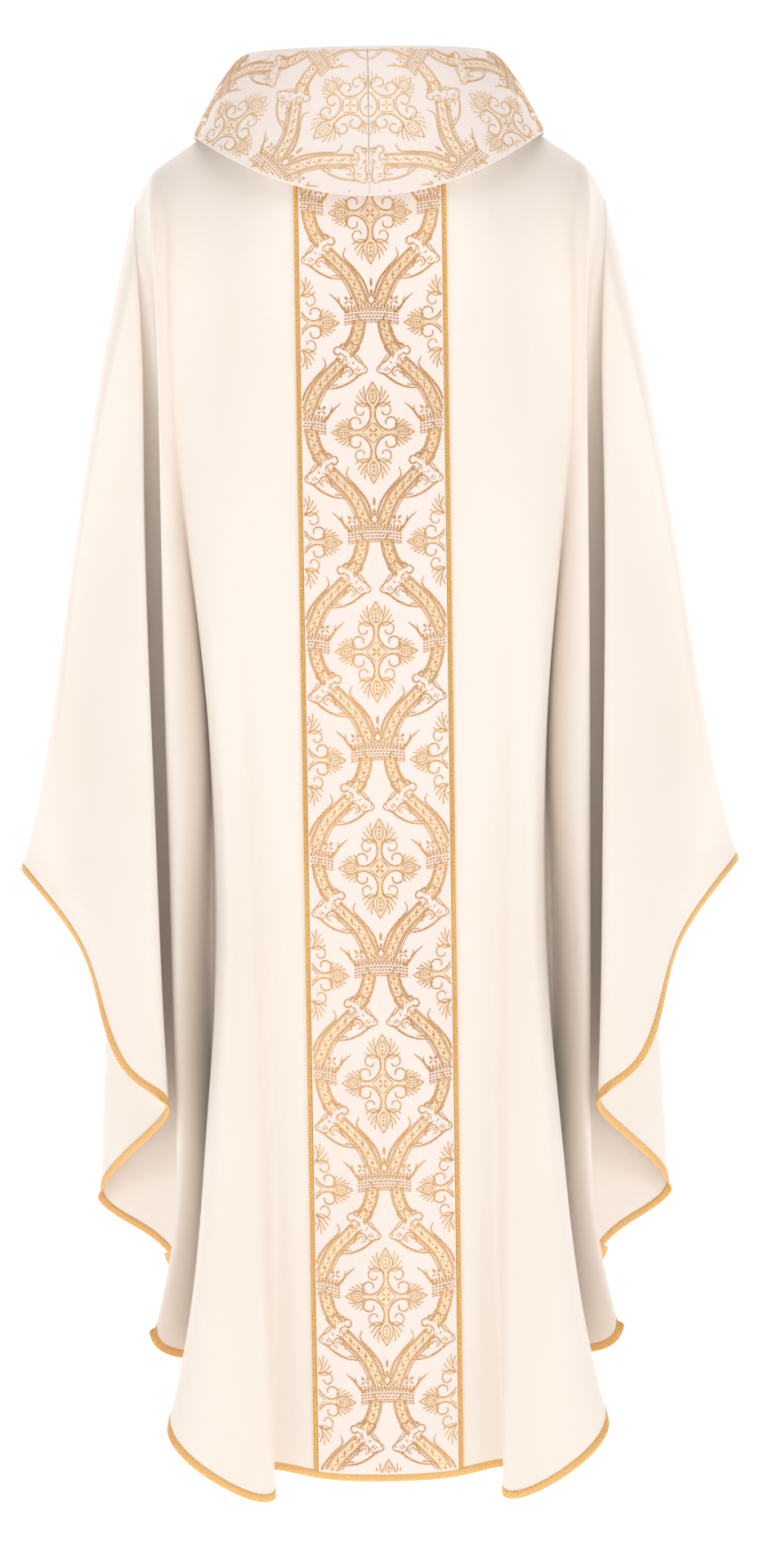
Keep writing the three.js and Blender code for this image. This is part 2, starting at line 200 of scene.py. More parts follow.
@dataclass(frozen=True)
class Finish:
    """What one material looks like."""

    name: str
    colour: Colour
    shade: Colour
    roughness: float
    weave: Weave
    pitch: float
    relief: float
    metallic: float = 0.0
    sheen: float = 0.0
    # share of painted glints: fine light and dark flecks in the base colour
    sparkle: float = 0.0


IVORY = Finish("ivory_cloth", srgb(249, 241, 233), srgb(246, 235, 224), 0.62, Weave.TWILL,
               0.9 * MM, 0.05 * MM, sheen=0.25)
GROUND = Finish("brocade_ground", srgb(248, 238, 232), srgb(244, 231, 222), 0.5, Weave.SATIN,
                0.8 * MM, 0.05 * MM, sheen=0.2)
FIGURE = Finish("brocade_figure", srgb(253, 236, 212), srgb(244, 215, 176), 0.45, Weave.TWILL,
                1.2 * MM, 0.08 * MM, metallic=0.2, sparkle=0.5)
OUTLINE = Finish("brocade_outline", srgb(246, 190, 116), srgb(180, 120, 66), 0.4, Weave.PLAIN,
                 1.3 * MM, 0.12 * MM, metallic=0.3, sparkle=0.8)
# Painted light: the collar's figure and outline colours are lighter, paler copies of the band's figure and
# outline colours. They stand in for the extra light that the upturned collar gets from above.
PAINTED_LIT_COLLAR_FIGURE = Finish("collar_figure", srgb(254, 243, 230), srgb(251, 232, 208), 0.45, Weave.TWILL,
                       1.2 * MM, 0.08 * MM, metallic=0.15, sparkle=0.4)
PAINTED_LIT_COLLAR_OUTLINE = Finish("collar_outline", srgb(248, 208, 154), srgb(216, 164, 108), 0.42, Weave.PLAIN,
                        1.3 * MM, 0.12 * MM, metallic=0.25, sparkle=0.6)
LINING = Finish("lining", srgb(240, 230, 218), srgb(232, 219, 204), 0.6, Weave.PLAIN,
                0.7 * MM, 0.04 * MM, sheen=0.1)
BRAID = Finish("gold_braid", srgb(246, 196, 108), srgb(204, 146, 70), 0.4, Weave.BRAID,
               2.4 * MM, 0.3 * MM, metallic=0.35, sparkle=0.8)
BINDING = Finish("hem_binding", srgb(246, 200, 130), srgb(214, 158, 88), 0.42, Weave.TWILL,
                 1.5 * MM, 0.12 * MM, metallic=0.3, sparkle=0.8)
THREAD = Finish("gold_thread", srgb(226, 178, 108), srgb(198, 146, 80), 0.45, Weave.TWILL,
                0.6 * MM, 0.05 * MM, metallic=0.2)


@dataclass
class Painter:
    """Makes each finish once, as a procedural material; sizes are in bumps per metre."""

    slow_bumps: Colour = (9.0, 3.0, 1.0)
    slub_bumps: Colour = (900.0, 90.0, 1.0)
    sparkle_bumps: Colour = (700.0, 700.0, 1.0)
    slow_share: float = 1.4
    slub_share: float = 0.5
    thread_share: float = 0.25
    sparkle_share: float = 3.0
    middle_tint: float = 0.45
    bump_strength: float = 0.5
    sheen_roughness: float = 0.45
    made: dict[str, bpy.types.Material] = field(default_factory=dict)

    def noise(self, nodes: Nodes, place: bpy.types.NodeSocket, stretch: Colour,
              detail: float) -> Signal:
        """Soft random values from 0 to 1.

        Args:
            nodes: The material's nodes.
            place: Where on the cloth.
            stretch: Bumps per metre across and along the cloth.
            detail: Amount of finer detail.

        Returns:
            The values.
        """
        mapping = nodes.add("ShaderNodeMapping", {}, {"Vector": place, "Scale": stretch})
        made = nodes.add("ShaderNodeTexNoise", {},
                         {"Vector": mapping.outputs["Vector"], "Scale": 1.0, "Detail": detail})
        return Signal(nodes, made.outputs["Fac"])

    def threads(self, nodes: Nodes, place: bpy.types.NodeSocket, finish: Finish) -> Signal:
        """Height of the threads, from 0 to 1.

        Args:
            nodes: The material's nodes.
            place: Where on the cloth, in metres along its two directions.
            finish: The finish being made.

        Returns:
            The height.
        """
        split = nodes.add("ShaderNodeSeparateXYZ", {}, {0: place})
        turns = 2 * math.pi / finish.pitch
        across = Signal(nodes, split.outputs[0]) * turns
        along = Signal(nodes, split.outputs[1]) * turns
        if finish.weave is Weave.PLAIN:
            return (across.sine() * along.sine()) * 0.5 + 0.5
        if finish.weave is Weave.TWILL:
            return (across + along).sine() * 0.5 + 0.5
        if finish.weave is Weave.SATIN:
            return (across + along * 0.2).sine() * (along * 0.5).sine() * 0.5 + 0.5
        return (along + across.size() * 0.8).sine() * 0.5 + 0.5

    def paint(self, finish: Finish) -> bpy.types.Material:
        """The material of a finish.

        Args:
            finish: The finish.

        Returns:
            Its material.
        """
        if finish.name in self.made:
            return self.made[finish.name]
        material = bpy.data.materials.new(finish.name)
        material.use_nodes = True
        nodes = Nodes(material.node_tree)
        place = nodes.add("ShaderNodeTexCoord", {}, {}).outputs["UV"]
        threads = self.threads(nodes, place, finish)
        slow = self.noise(nodes, place, self.slow_bumps, 2.0)
        slubs = self.noise(nodes, place, self.slub_bumps, 2.0)
        tint = ((slow - 0.5) * self.slow_share + (slubs - 0.5) * self.slub_share
                + (threads - 0.5) * self.thread_share + self.middle_tint)
        # Painted glints: fine flecks lighten and darken the base colour, standing in for light glinting
        # off metal thread. They also give the thread its dashed look.
        if finish.sparkle:
            painted_glints = self.noise(nodes, place, self.sparkle_bumps, 1.0)
            tint = tint + (painted_glints - 0.5) * (finish.sparkle * self.sparkle_share)
        share = nodes.add("ShaderNodeClamp", {}, {"Value": tint})
        mix = nodes.add("ShaderNodeMix", {"data_type": "RGBA"},
                        {0: share.outputs[0], 6: (*finish.colour, 1.0), 7: (*finish.shade, 1.0)})
        bump = nodes.add("ShaderNodeBump", {}, {
            "Strength": self.bump_strength,
            "Distance": finish.relief,
            "Height": threads + (slubs - 0.5) * 0.8,
        })
        nodes.fill(material.node_tree.nodes["Principled BSDF"], {
            "Base Color": mix.outputs[2],
            "Roughness": (slubs - 0.5) * 0.15 + (threads - 0.5) * 0.08 + finish.roughness,
            "Normal": bump.outputs["Normal"],
            "Metallic": finish.metallic,
            "Sheen Weight": finish.sheen,
            "Sheen Roughness": self.sheen_roughness,
        })
        self.made[finish.name] = material
        return material


PAINTER = Painter()
SHARP_ANGLE = 50  # in degrees: faces of cloth that meet at more than this make an edge
ROUNDING = ((0.0, 0.25), (0.35, 0.8), (1.1, 1.0))  # a ribbon's edge, in half thicknesses: inset, height
FIGURE_RISE = 0.12 * MM
OUTLINE_RISE = 0.24 * MM
LAYERS = 23  # strokes that cross lie at slightly different heights
LAYER_STEP = 0.003 * MM


# ---------------------------------------------------------------------------------------------
# Meshes


def unit(vectors: np.ndarray) -> np.ndarray:
    """The same directions at a length of 1."""
    return vectors / np.maximum(np.linalg.norm(vectors, axis=-1, keepdims=True), 1e-12)


def distances(path: np.ndarray) -> np.ndarray:
    """Distance of each point of a path from its start, along the path."""
    return np.concatenate([[0.0], np.cumsum(np.linalg.norm(np.diff(path, axis=0), axis=1))])


def add_mesh(name: str, points: np.ndarray, faces: np.ndarray, places: np.ndarray,
             finish: Finish) -> bpy.types.Object:
    """Makes an object of a closed mesh, turned outward.

    Args:
        name: Name of the piece.
        points: Corners, in metres.
        faces: Corner numbers of each face.
        places: Where each corner is on the flat cloth, in metres.
        finish: Its finish.

    Returns:
        The object.
    """
    if outward_volume(points, faces) < 0:
        faces = faces[:, ::-1]
    mesh = bpy.data.meshes.new(name)
    mesh.from_pydata(points.tolist(), [], faces.tolist())
    layer = mesh.uv_layers.new(name="flat_cloth")
    corners = np.zeros(len(mesh.loops), np.int32)
    mesh.loops.foreach_get("vertex_index", corners)
    layer.data.foreach_set("uv", places[corners].astype(np.float32).ravel())
    mesh.shade_smooth()
    mesh.set_sharp_from_angle(angle=math.radians(SHARP_ANGLE))
    mesh.materials.append(PAINTER.paint(finish))
    piece = bpy.data.objects.new(name, mesh)
    bpy.context.scene.collection.objects.link(piece)
    log.info("%s: %d faces", name, len(faces))
    return piece


def outward_volume(points: np.ndarray, faces: np.ndarray) -> float:
    """Signed volume of a closed mesh.

    Args:
        points: Corners.
        faces: Corner numbers of each face.

    Returns:
        The volume, negative where the faces point inward.
    """
    total = 0.0
    for second in range(1, faces.shape[1] - 1):
        a, b, c = points[faces[:, 0]], points[faces[:, second]], points[faces[:, second + 1]]
        total += float(np.einsum("ij,ij->", a, np.cross(b, c))) / 6
    return total


def grid_faces(rows: int, columns: int) -> np.ndarray:
    """Four-cornered faces of a grid of points.

    Args:
        rows: Points along the first direction.
        columns: Points along the second direction.

    Returns:
        Corner numbers of each face.
    """
    i, j = np.meshgrid(np.arange(rows - 1), np.arange(columns - 1), indexing="ij")
    corner = (i * columns + j).ravel()
    return np.stack([corner, corner + 1, corner + columns + 1, corner + columns], axis=1)


def normals_of(surface: np.ndarray) -> np.ndarray:
    """Unit normals of a grid of points.

    Args:
        surface: Grid of points.

    Returns:
        One normal per point.
    """
    return unit(np.cross(np.gradient(surface, axis=0), np.gradient(surface, axis=1)))


def run_lengths(surface: np.ndarray, axis: int) -> np.ndarray:
    """Distance along each line of a grid, from its first point.

    Args:
        surface: Grid of points.
        axis: 0 or 1, the direction to follow.

    Returns:
        The distances.
    """
    steps = np.linalg.norm(np.diff(surface, axis=axis), axis=-1)
    shape = list(surface.shape[:2])
    shape[axis] = 1
    return np.concatenate([np.zeros(shape), np.cumsum(steps, axis=axis)], axis=axis)


def closed_sheet(name: str, surface: np.ndarray, normal: np.ndarray, low: float, high: float,
                 finish: Finish, ring: bool = False) -> bpy.types.Object:
    """A sheet of cloth with two faces and an edge all round.

    Args:
        name: Name of the piece.
        surface: Grid of points.
        normal: Unit normals of the points.
        low: Height of the under face over the surface.
        high: Height of the upper face over the surface.
        finish: Its finish.
        ring: Whether the last line of the grid joins the first.

    Returns:
        The object.
    """
    rows, columns = surface.shape[:2]
    count = rows * columns
    number = np.arange(count).reshape(rows, columns)
    upper = grid_faces(rows, columns)
    if ring:
        last, first = number[-1], number[0]
        closing = np.stack([last[:-1], last[1:], first[1:], first[:-1]], axis=1)
        upper = np.concatenate([upper, closing])
        loops = [np.append(number[:, 0], 0), np.append(number[::-1, -1], number[-1, -1])]
    else:
        loops = [np.concatenate([number[:, 0], number[-1, 1:], number[-2::-1, -1], number[0, -2::-1]])]
    faces = [upper, upper[:, ::-1] + count]
    for loop in loops:
        a, b = loop[:-1], loop[1:]
        faces.append(np.stack([a, b, b + count, a + count], axis=1))
    points = np.concatenate([(surface + normal * high).reshape(-1, 3),
                             (surface + normal * low).reshape(-1, 3)])
    across = run_lengths(surface, 0)
    down = run_lengths(surface, 1)
    places = np.stack([across, down], axis=-1).reshape(-1, 2)
    return add_mesh(name, points, np.concatenate(faces), np.tile(places, (2, 1)), finish)


def swept_strip(name: str, path: np.ndarray, outward: np.ndarray, normal: np.ndarray,
                profile: np.ndarray, finish: Finish) -> bpy.types.Object:
    """A narrow closed strip that follows a path.

    Args:
        name: Name of the piece.
        path: Points along it.
        outward: Unit direction of the profile's first measure at each point.
        normal: Unit direction of its second measure.
        profile: Closed outline of the strip, in metres.
        finish: Its finish.

    Returns:
        The object.
    """
    sections = (path[:, None] + outward[:, None] * profile[None, :, :1]
                + normal[:, None] * profile[None, :, 1:])
    stations, corners = sections.shape[:2]
    i, k = np.meshgrid(np.arange(stations - 1), np.arange(corners), indexing="ij")
    a, b = (i * corners + k).ravel(), (i * corners + (k + 1) % corners).ravel()
    sides = np.stack([a, b, b + corners, a + corners], axis=1)
    half = corners // 2
    k = np.arange(half - 1)
    cap = np.stack([k, k + 1, corners - 2 - k, corners - 1 - k], axis=1)
    end = cap[:, ::-1] + (stations - 1) * corners
    faces = np.concatenate([sides[:, ::-1], cap, end])
    places = np.stack([np.tile(profile[:, 0], stations), np.repeat(distances(path), corners)], axis=1)
    return add_mesh(name, sections.reshape(-1, 3), faces, places, finish)


def ribbon_profile(inner: float, outer: float, low: float, high: float) -> np.ndarray:
    """Outline of a flat ribbon with rounded edges.

    Args:
        inner: Where it starts, across.
        outer: Where it ends, across.
        low: Its lowest height.
        high: Its greatest height.

    Returns:
        Twelve corners.
    """
    middle, reach = (low + high) / 2, (high - low) / 2
    upper = [(inner + inset * reach, height) for inset, height in ROUNDING]
    upper += [(outer - inset * reach, height) for inset, height in reversed(ROUNDING)]
    points = [(x, middle + h * reach) for x, h in upper]
    points += [(x, middle - h * reach) for x, h in reversed(upper)]
    return np.array(points)


# ---------------------------------------------------------------------------------------------
# The cloth's net


def spline_basis(count: int, at: np.ndarray) -> np.ndarray:
    """Weights of a smooth curve through values at 0, 1, 2 and so on, with free ends.

    Args:
        count: Number of values.
        at: Where to read the curve.

    Returns:
        One row of weights per place.
    """
    system, sides = np.eye(count), np.zeros((count, count))
    for k in range(1, count - 1):
        system[k, k - 1:k + 2] = (1, 4, 1)
        sides[k, k - 1:k + 2] = (6, -12, 6)
    bend = np.linalg.solve(system, sides)
    k = np.clip(np.floor(at).astype(int), 0, count - 2)
    far = at - k
    near = 1 - far
    eye = np.eye(count)
    return (near[:, None] * eye[k] + far[:, None] * eye[k + 1]
            + ((near**3 - near) / 6)[:, None] * bend[k] + ((far**3 - far) / 6)[:, None] * bend[k + 1])


def smooth_curve(knots: list[float], values: list[float], at: np.ndarray) -> np.ndarray:
    """Smooth curve through points, with free ends.

    Args:
        knots: Where the values are.
        values: The values.
        at: Where to read the curve.

    Returns:
        The curve's values.
    """
    x, y = np.array(knots, float), np.array(values, float)
    count = len(x)
    if count == 2:
        return y[0] + (y[1] - y[0]) * (at - x[0]) / (x[1] - x[0])
    system, sides = np.eye(count), np.zeros(count)
    for k in range(1, count - 1):
        before, after = x[k] - x[k - 1], x[k + 1] - x[k]
        system[k, k - 1:k + 2] = (before, 2 * (before + after), after)
        sides[k] = 6 * ((y[k + 1] - y[k]) / after - (y[k] - y[k - 1]) / before)
    bend = np.linalg.solve(system, sides)
    k = np.clip(np.searchsorted(x, at) - 1, 0, count - 2)
    span = x[k + 1] - x[k]
    near, far = (x[k + 1] - at) / span, (at - x[k]) / span
    sag = ((near**3 - near) * bend[k] + (far**3 - far) * bend[k + 1]) * span**2 / 6
    return near * y[k] + far * y[k + 1] + sag


@dataclass
class Net:
    """The shape of the hanging cloth, in millimetres until it is read."""

    neck_width: float = 104.0
    neck_depth: float = 84.0
    neck_dip: float = 26.0
    fold_angle: float = 62.0
    band_half: float = 62.0
    front_depth: float = 0.9
    front_drop: float = 0.985
    drop_power: float = 1.8
    hold_power: float = 8.0
    ridge: tuple = (
        (104, -4), (138, -28), (160, -44), (174, -53), (184, -60), (192, -66), (198, -74), (203, -83),
        (208, -94), (213, -108), (236, -212), (266, -380), (292, -540), (311, -640), (325, -688),
    )
    round_drops: tuple = (100, 110, 150, 160, 150, 130, 120, 100, 90, 84, 80, 76, 72, 60, 50, 44, 30, 20)
    lines: tuple = (
        ((-110, 0, 116), (-340, 0, 134), (-620, 0, 140), (-900, 0, 146), (-1219, 0, 154)),
        ((-110, 62, 114), (-340, 62, 133), (-620, 62, 140), (-900, 62, 146), (-1215, 62, 154)),
        ((-110, 88, 108), (-340, 98, 131), (-620, 98, 137), (-900, 96, 142), (-1210, 104, 148)),
        ((-110, 108, 100), (-340, 118, 131), (-620, 114, 146), (-900, 108, 160), (-1226, 101, 176)),
        ((-110, 136, 86), (-340, 140, 124), (-620, 127, 150), (-900, 130, 170), (-1216, 140, 184)),
        ((-110, 166, 76), (-340, 163, 108), (-620, 141, 136), (-760, 141, 144), (-900, 154, 152),
         (-1100, 178, 158), (-1162, 192, 162)),
        ((-110, 176, 74), (-340, 170, 92), (-530, 152, 78), (-700, 150, 60), (-900, 152, 56),
         (-1050, 148, 66), (-1132, 150, 80)),
        ((-110, 184, 74), (-340, 177, 98), (-600, 160, 100), (-740, 169, 104), (-900, 170, 104),
         (-1040, 178, 106), (-1114, 188, 112)),
        ((-200, 188, 92), (-340, 187, 104), (-620, 186, 108), (-880, 184, 108), (-1020, 190, 112),
         (-1085, 203, 122)),
        ((-200, 190, 82), (-340, 184, 84), (-620, 178, 80), (-880, 176, 76), (-1055, 184, 80)),
        ((-200, 200, 72), (-340, 204, 66), (-620, 208, 58), (-880, 212, 50), (-1016, 214, 52)),
        ((-200, 210, 70), (-340, 220, 62), (-620, 234, 50), (-840, 249, 44), (-974, 256, 44)),
        ((-200, 204, 80), (-340, 202, 98), (-620, 198, 118), (-800, 195, 126), (-893, 192, 132)),
        ((-340, 232, 96), (-620, 228, 118), (-856, 221, 134)),
        ((-560, 262, 84), (-790, 250, 108)),
        ((-740, 274, 70),),
        ((-699, 312, 26),),
        (),
    )

    @property
    def last(self) -> int:
        """Number of the sleeve tip's line."""
        return len(self.lines) - 1

    def neck_angles(self) -> tuple[float, ...]:
        """Angles from the centre at which the first lines leave the neckline, in degrees."""
        return (0.0, math.degrees(math.asin(self.band_half / self.neck_width)), self.fold_angle, 90.0)

    def neck_height(self, cosine: np.ndarray) -> np.ndarray:
        """Height of the neckline seam.

        Args:
            cosine: Cosine of the angle from the centre back.

        Returns:
            The heights.
        """
        return self.ridge[0][1] - np.where(cosine < 0, self.neck_dip, 0.0) * cosine**2

    def top_edge(self, u: np.ndarray, face: Face) -> np.ndarray:
        """Top edge of a half: across, depth and height.

        Args:
            u: Lines.
            face: Back or front.

        Returns:
            One point per line.
        """
        angles = list(self.neck_angles())
        first = len(angles) - 1
        knots = [first + k for k in range(len(self.ridge))]
        ridge_u = np.clip(u, first, None)
        across = smooth_curve(knots, [p[0] for p in self.ridge], ridge_u)
        height = smooth_curve(knots, [p[1] for p in self.ridge], ridge_u)
        angle = np.radians(smooth_curve(list(range(first + 1)), angles, np.clip(u, 0, first)))
        cosine = np.clip(np.cos(angle), 0, None)
        on_neck = u <= first
        neck_z = self.neck_height(cosine if face is Face.BACK else -cosine)
        return np.stack([np.where(on_neck, self.neck_width * np.sin(angle), across),
                         np.where(on_neck, self.neck_depth * cosine, 0.0),
                         np.where(on_neck, neck_z, height)], axis=-1)

    def fold_lines(self, t: np.ndarray, face: Face) -> np.ndarray:
        """Every fold line, read at the same places.

        Args:
            t: Places from the top edge to the hem.
            face: Back or front.

        Returns:
            Points as [line, place, across/depth/height].
        """
        tops = self.top_edge(np.arange(self.last + 1, dtype=float), face)
        share = self.front_depth if face is Face.FRONT else 1.0
        drop = self.front_drop if face is Face.FRONT else 1.0
        result = []
        for top, stations, round_drop in zip(tops, self.lines, self.round_drops):
            if not stations:
                result.append(np.tile(top, (len(t), 1)))
                continue
            falls = [0.0] + [(top[2] - s[0]) * drop for s in stations]
            fall = falls[-1] * t**self.drop_power
            across = smooth_curve(falls, [top[0]] + [s[1] for s in stations], fall)
            depth = smooth_curve(falls, [stations[0][2]] + [s[2] for s in stations], fall)
            turned = 1 - np.minimum(fall / round_drop, 1)
            rounding = np.sqrt(np.clip(1 - turned**2, 0, None))
            result.append(np.stack([across, top[1] + (depth * share - top[1]) * rounding,
                                    top[2] - fall], axis=-1))
        return np.array(result)

    def points(self, side: Side, face: Face, u: np.ndarray, t: np.ndarray) -> np.ndarray:
        """Grid of points of the cloth's middle surface, in metres.

        Args:
            side: Left or right.
            face: Back or front.
            u: Lines to read.
            t: Places down the lines.

        Returns:
            Points as [line, place, x/y/z].
        """
        basis = spline_basis(self.last + 1, u)
        here = np.einsum("ui,itk->utk", basis, self.fold_lines(t, face))
        start = np.einsum("ui,itk->utk", basis, self.fold_lines(np.zeros(1), face))
        hold = (1 - t) ** self.hold_power
        cloth = here + (self.top_edge(u, face)[:, None] - start) * hold[None, :, None]
        return cloth * np.array([side.value, face.value, 1.0]) * MM


NET = Net()


# ---------------------------------------------------------------------------------------------
# Brocade figures


@dataclass
class Stroke:
    """One raised line of thread: points and widths in millimetres."""

    points: np.ndarray
    widths: np.ndarray
    is_line: bool


def smooth_path(points: Path, step: float) -> np.ndarray:
    """Evenly spaced points on a smooth path.

    Args:
        points: Points it passes.
        step: Spacing.

    Returns:
        The points.
    """
    if len(points) == 2:
        start, end = np.array(points, float)
        count = max(int(np.linalg.norm(end - start) / step), 1) + 1
        return start + (end - start) * np.linspace(0, 1, count)[:, None]
    dense = np.linspace(0, len(points) - 1, 24 * (len(points) - 1) + 1)
    curve = spline_basis(len(points), dense) @ np.array(points, float)
    length = distances(curve)
    count = max(int(round(length[-1] / step)), 2) + 1
    even = np.linspace(0, length[-1], count)
    return np.stack([np.interp(even, length, curve[:, k]) for k in range(2)], axis=1)


@dataclass
class Brocade:
    """One repeat of the woven figure, drawn round its cross, with x and y in millimetres."""

    across: float = 64.0
    along: float = 95.0
    line: float = 1.15
    fine_line: float = 0.6
    line_step: float = 1.7
    figure_step: float = 3.0
    offset_step: float = 6.0
    leaf_root: float = 22.0
    leaf_tip: float = 44.0
    side_reach: float = 36.0 / 44.0
    side_spread: float = 0.78
    crown_middle: float = -87.0
    crown_half: float = 23.6
    crown_arch: float = 2.4
    crown_rows: tuple[float, ...] = (6.6, 3.2, 0.4, -2.4, -5.2)
    trunk_width: float = 10.2
    fan: tuple = (
        ((4.2, 23.4), (9.6, 23.0), (15.6, 27.2)),
        ((4.8, 24.8), (9.6, 27.0), (14.0, 32.4)),
        ((5.6, 27.4), (8.8, 31.0), (11.4, 36.6)),
        ((6.4, 31.4), (7.6, 35.0), (7.6, 40.4)),
    )
    joint: tuple = (
        ([(37.5, -26.0), (33.5, -27.5), (31.0, -24.0), (34.0, -20.5), (37.5, -22.5)], 1.5),
        ([(36.0, -20.5), (39.0, -18.0), (42.0, -20.0), (45.0, -17.0), (49.0, -18.5)], 1.4),
        ([(33.5, -30.5), (35.0, -33.5), (38.5, -33.5), (39.5, -30.0)], 1.4),
        ([(35.0, -31.0), (37.0, -31.8)], 1.3),
        ([(38.0, -27.5), (41.0, -29.5), (41.5, -33.5)], 1.2),
        ([(49.5, -18.5), (53.0, -20.5), (51.0, -24.5), (48.6, -28.0), (52.0, -33.0), (57.0, -36.5),
          (60.0, -41.0), (56.0, -44.0), (50.0, -44.5), (47.0, -40.5)], 1.25),
        ([(50.5, -27.5), (54.0, -32.0), (57.5, -38.0), (56.5, -41.0)], 0.9),
        ([(46.5, -24.0), (45.0, -27.0), (46.5, -30.5)], 1.0),
        ([(38.0, -44.5), (39.0, -40.0), (42.5, -38.0), (46.0, -40.0), (46.5, -44.5), (43.0, -46.5)], 1.3),
        ([(40.0, -44.0), (41.5, -41.0), (44.0, -41.5), (44.5, -44.0)], 1.0),
        ([(37.0, -47.5), (36.5, -42.5), (39.5, -37.0), (44.5, -35.0)], 1.1),
        ([(49.0, -41.0), (52.0, -38.0)], 1.0),
        ([(51.5, -42.0), (54.0, -39.5)], 1.0),
        ([(47.0, -35.5), (48.5, -33.0)], 1.2),
    )
    tendrils: tuple = (
        ([(23.5, -57.0), (31.0, -56.5), (38.5, -54.5), (46.0, -50.5), (51.0, -46.5), (55.5, -43.5)], 1.9),
        ([(24.0, -55.0), (29.0, -54.0), (34.0, -53.8)], 1.1),
        ([(21.5, -30.0), (23.5, -37.0), (18.0, -44.0), (12.0, -51.0), (6.0, -60.0), (2.5, -71.0)], 2.0),
        ([(20.0, -44.5), (14.5, -51.0), (9.0, -60.0)], 1.0),
        ([(37.0, -21.0), (44.0, -13.0), (47.0, -3.5)], 1.2),
        ([(50.5, 8.0), (53.0, 5.5), (54.0, 2.5)], 1.6),
    )
    strokes: list[Stroke] = field(default_factory=list)

    def draw(self, points: Path, width: float, is_line: bool = True,
             taper: tuple[float, float] = (1.0, 1.0), swell: float = 0.0, both: bool = True) -> None:
        """Adds a stroke, and its mirror image.

        Args:
            points: Points it passes.
            width: Its width.
            is_line: Whether it is an outline rather than a filled shape.
            taper: Share of the width at the two ends.
            swell: Extra share of the width at the middle.
            both: Whether to add the mirror image too.
        """
        path = smooth_path(points, self.line_step if is_line else self.figure_step)
        share = np.linspace(0, 1, len(path))
        widths = width * (taper[0] + (taper[1] - taper[0]) * share + swell * np.sin(math.pi * share))
        for flip in (1, -1) if both else (1,):
            self.strokes.append(Stroke(path * np.array([flip, 1]), widths, is_line))

    def offset(self, points: Path, gap: float) -> Path:
        """A line that runs beside another.

        Args:
            points: The first line.
            gap: Distance to its left.

        Returns:
            The second line.
        """
        path = smooth_path(points, self.offset_step)
        slope = unit(np.gradient(path, axis=0))
        return [tuple(p) for p in path + np.stack([-slope[:, 1], slope[:, 0]], axis=1) * gap]

    def palmette(self, turn: float, reach: float, spread: float) -> None:
        """A leaf tip of the cross, with a fan of smaller leaves each side.

        Args:
            turn: Direction it points in, in degrees from up.
            reach: Share of the full length.
            spread: Share of the full width.
        """
        angle = math.radians(turn)
        root = self.leaf_tip * reach - self.leaf_root * spread

        def place(x: float, y: float) -> tuple[float, float]:
            """Turns and shrinks a point of the leaf to its place on the cross.

            Args:
                x: Across the upright leaf.
                y: Up the upright leaf.

            Returns:
                The point.
            """
            across, up = x * spread, root + (y - self.leaf_root) * spread
            return (across * math.cos(angle) - up * math.sin(angle),
                    across * math.sin(angle) + up * math.cos(angle))

        def leaf(points: Path, width: float, is_line: bool = True,
                 taper: tuple[float, float] = (1.0, 1.0), swell: float = 0.0) -> None:
            """Draws one stroke of the leaf at its place, without a mirror image.

            Args:
                points: Points it passes on the upright leaf.
                width: Its width.
                is_line: Whether it is an outline rather than a filled shape.
                taper: Share of the width at the two ends.
                swell: Extra share of the width at the middle.
            """
            self.draw([place(*p) for p in points], width, is_line, taper, swell, both=False)

        leaf([(0, 22.5), (0, 30), (0, 36), (0, 43)], 9.0 * spread, False, (0.35, 0.05), 0.75)
        for sign in (1, -1):
            leaf([(sign * x, y) for x, y in ((1.6, 21.5), (5.4, 27), (6.0, 32), (3.6, 38), (0, 44))],
                 self.line, taper=(0.8, 0.7))
            leaf([(sign * x, y) for x, y in ((1.0, 25.0), (3.0, 29), (3.2, 33), (1.2, 38.5))],
                 0.8, taper=(0.8, 0.6))
            for leaflet in self.fan:
                path = [(sign * x, y) for x, y in leaflet]
                leaf(path, 2.9, False, (0.4, 0.25), 0.5)
                leaf(path, 1.0, taper=(0.5, 0.8))
        for y in (26.0, 29.5, 33.0, 36.5):
            leaf([(0, y - 0.9), (0, y + 0.9)], 1.5)

    def cross(self) -> None:
        """The cross with its four leaf tips and eight curls."""
        self.draw([(0, 10.5), (0, 0), (0, -10.5)], 4.0, False, (0.5, 0.5), 2.9, both=False)
        for sign in (1, -1):
            self.draw([(0, sign * 24), (0, sign * 10)], 3.4, False, (1.2, 0.9), both=False)
        self.draw([(8, 0), (19, 0)], 3.4, False, (0.9, 1.2))
        for sign in (1, -1):
            arm = [(3.8, 24.5), (1.9, 18), (2.6, 11.5), (6.4, 5.6), (12.0, 2.3), (17.0, 2.6),
                   (20.4, 6.2), (19.4, 11.2), (15.0, 13.2), (11.2, 10.9), (11.4, 7.4)]
            self.draw([(x, sign * y) for x, y in arm], 1.5, taper=(0.9, 0.7))
            curl = [(4.0, 23.2), (9.0, 25.6), (14.0, 23.6), (15.4, 19.0), (12.6, 15.4), (8.8, 16.0),
                    (7.8, 18.8)]
            self.draw([(x, sign * y) for x, y in curl], 1.4, taper=(0.7, 0.7))
            self.draw([(0.7, sign * 0.7), (3.0, sign * 3.0)], 2.2, taper=(0.5, 1.0))
            self.draw([(0.8, sign * 8.6), (4.2, sign * 5.0), (8.6, sign * 0.8)], 0.8)
        for turn in (0, 180):
            self.palmette(turn, 1.0, 1.0)
        for turn in (90, 270):
            self.palmette(turn, self.side_reach, self.side_spread)

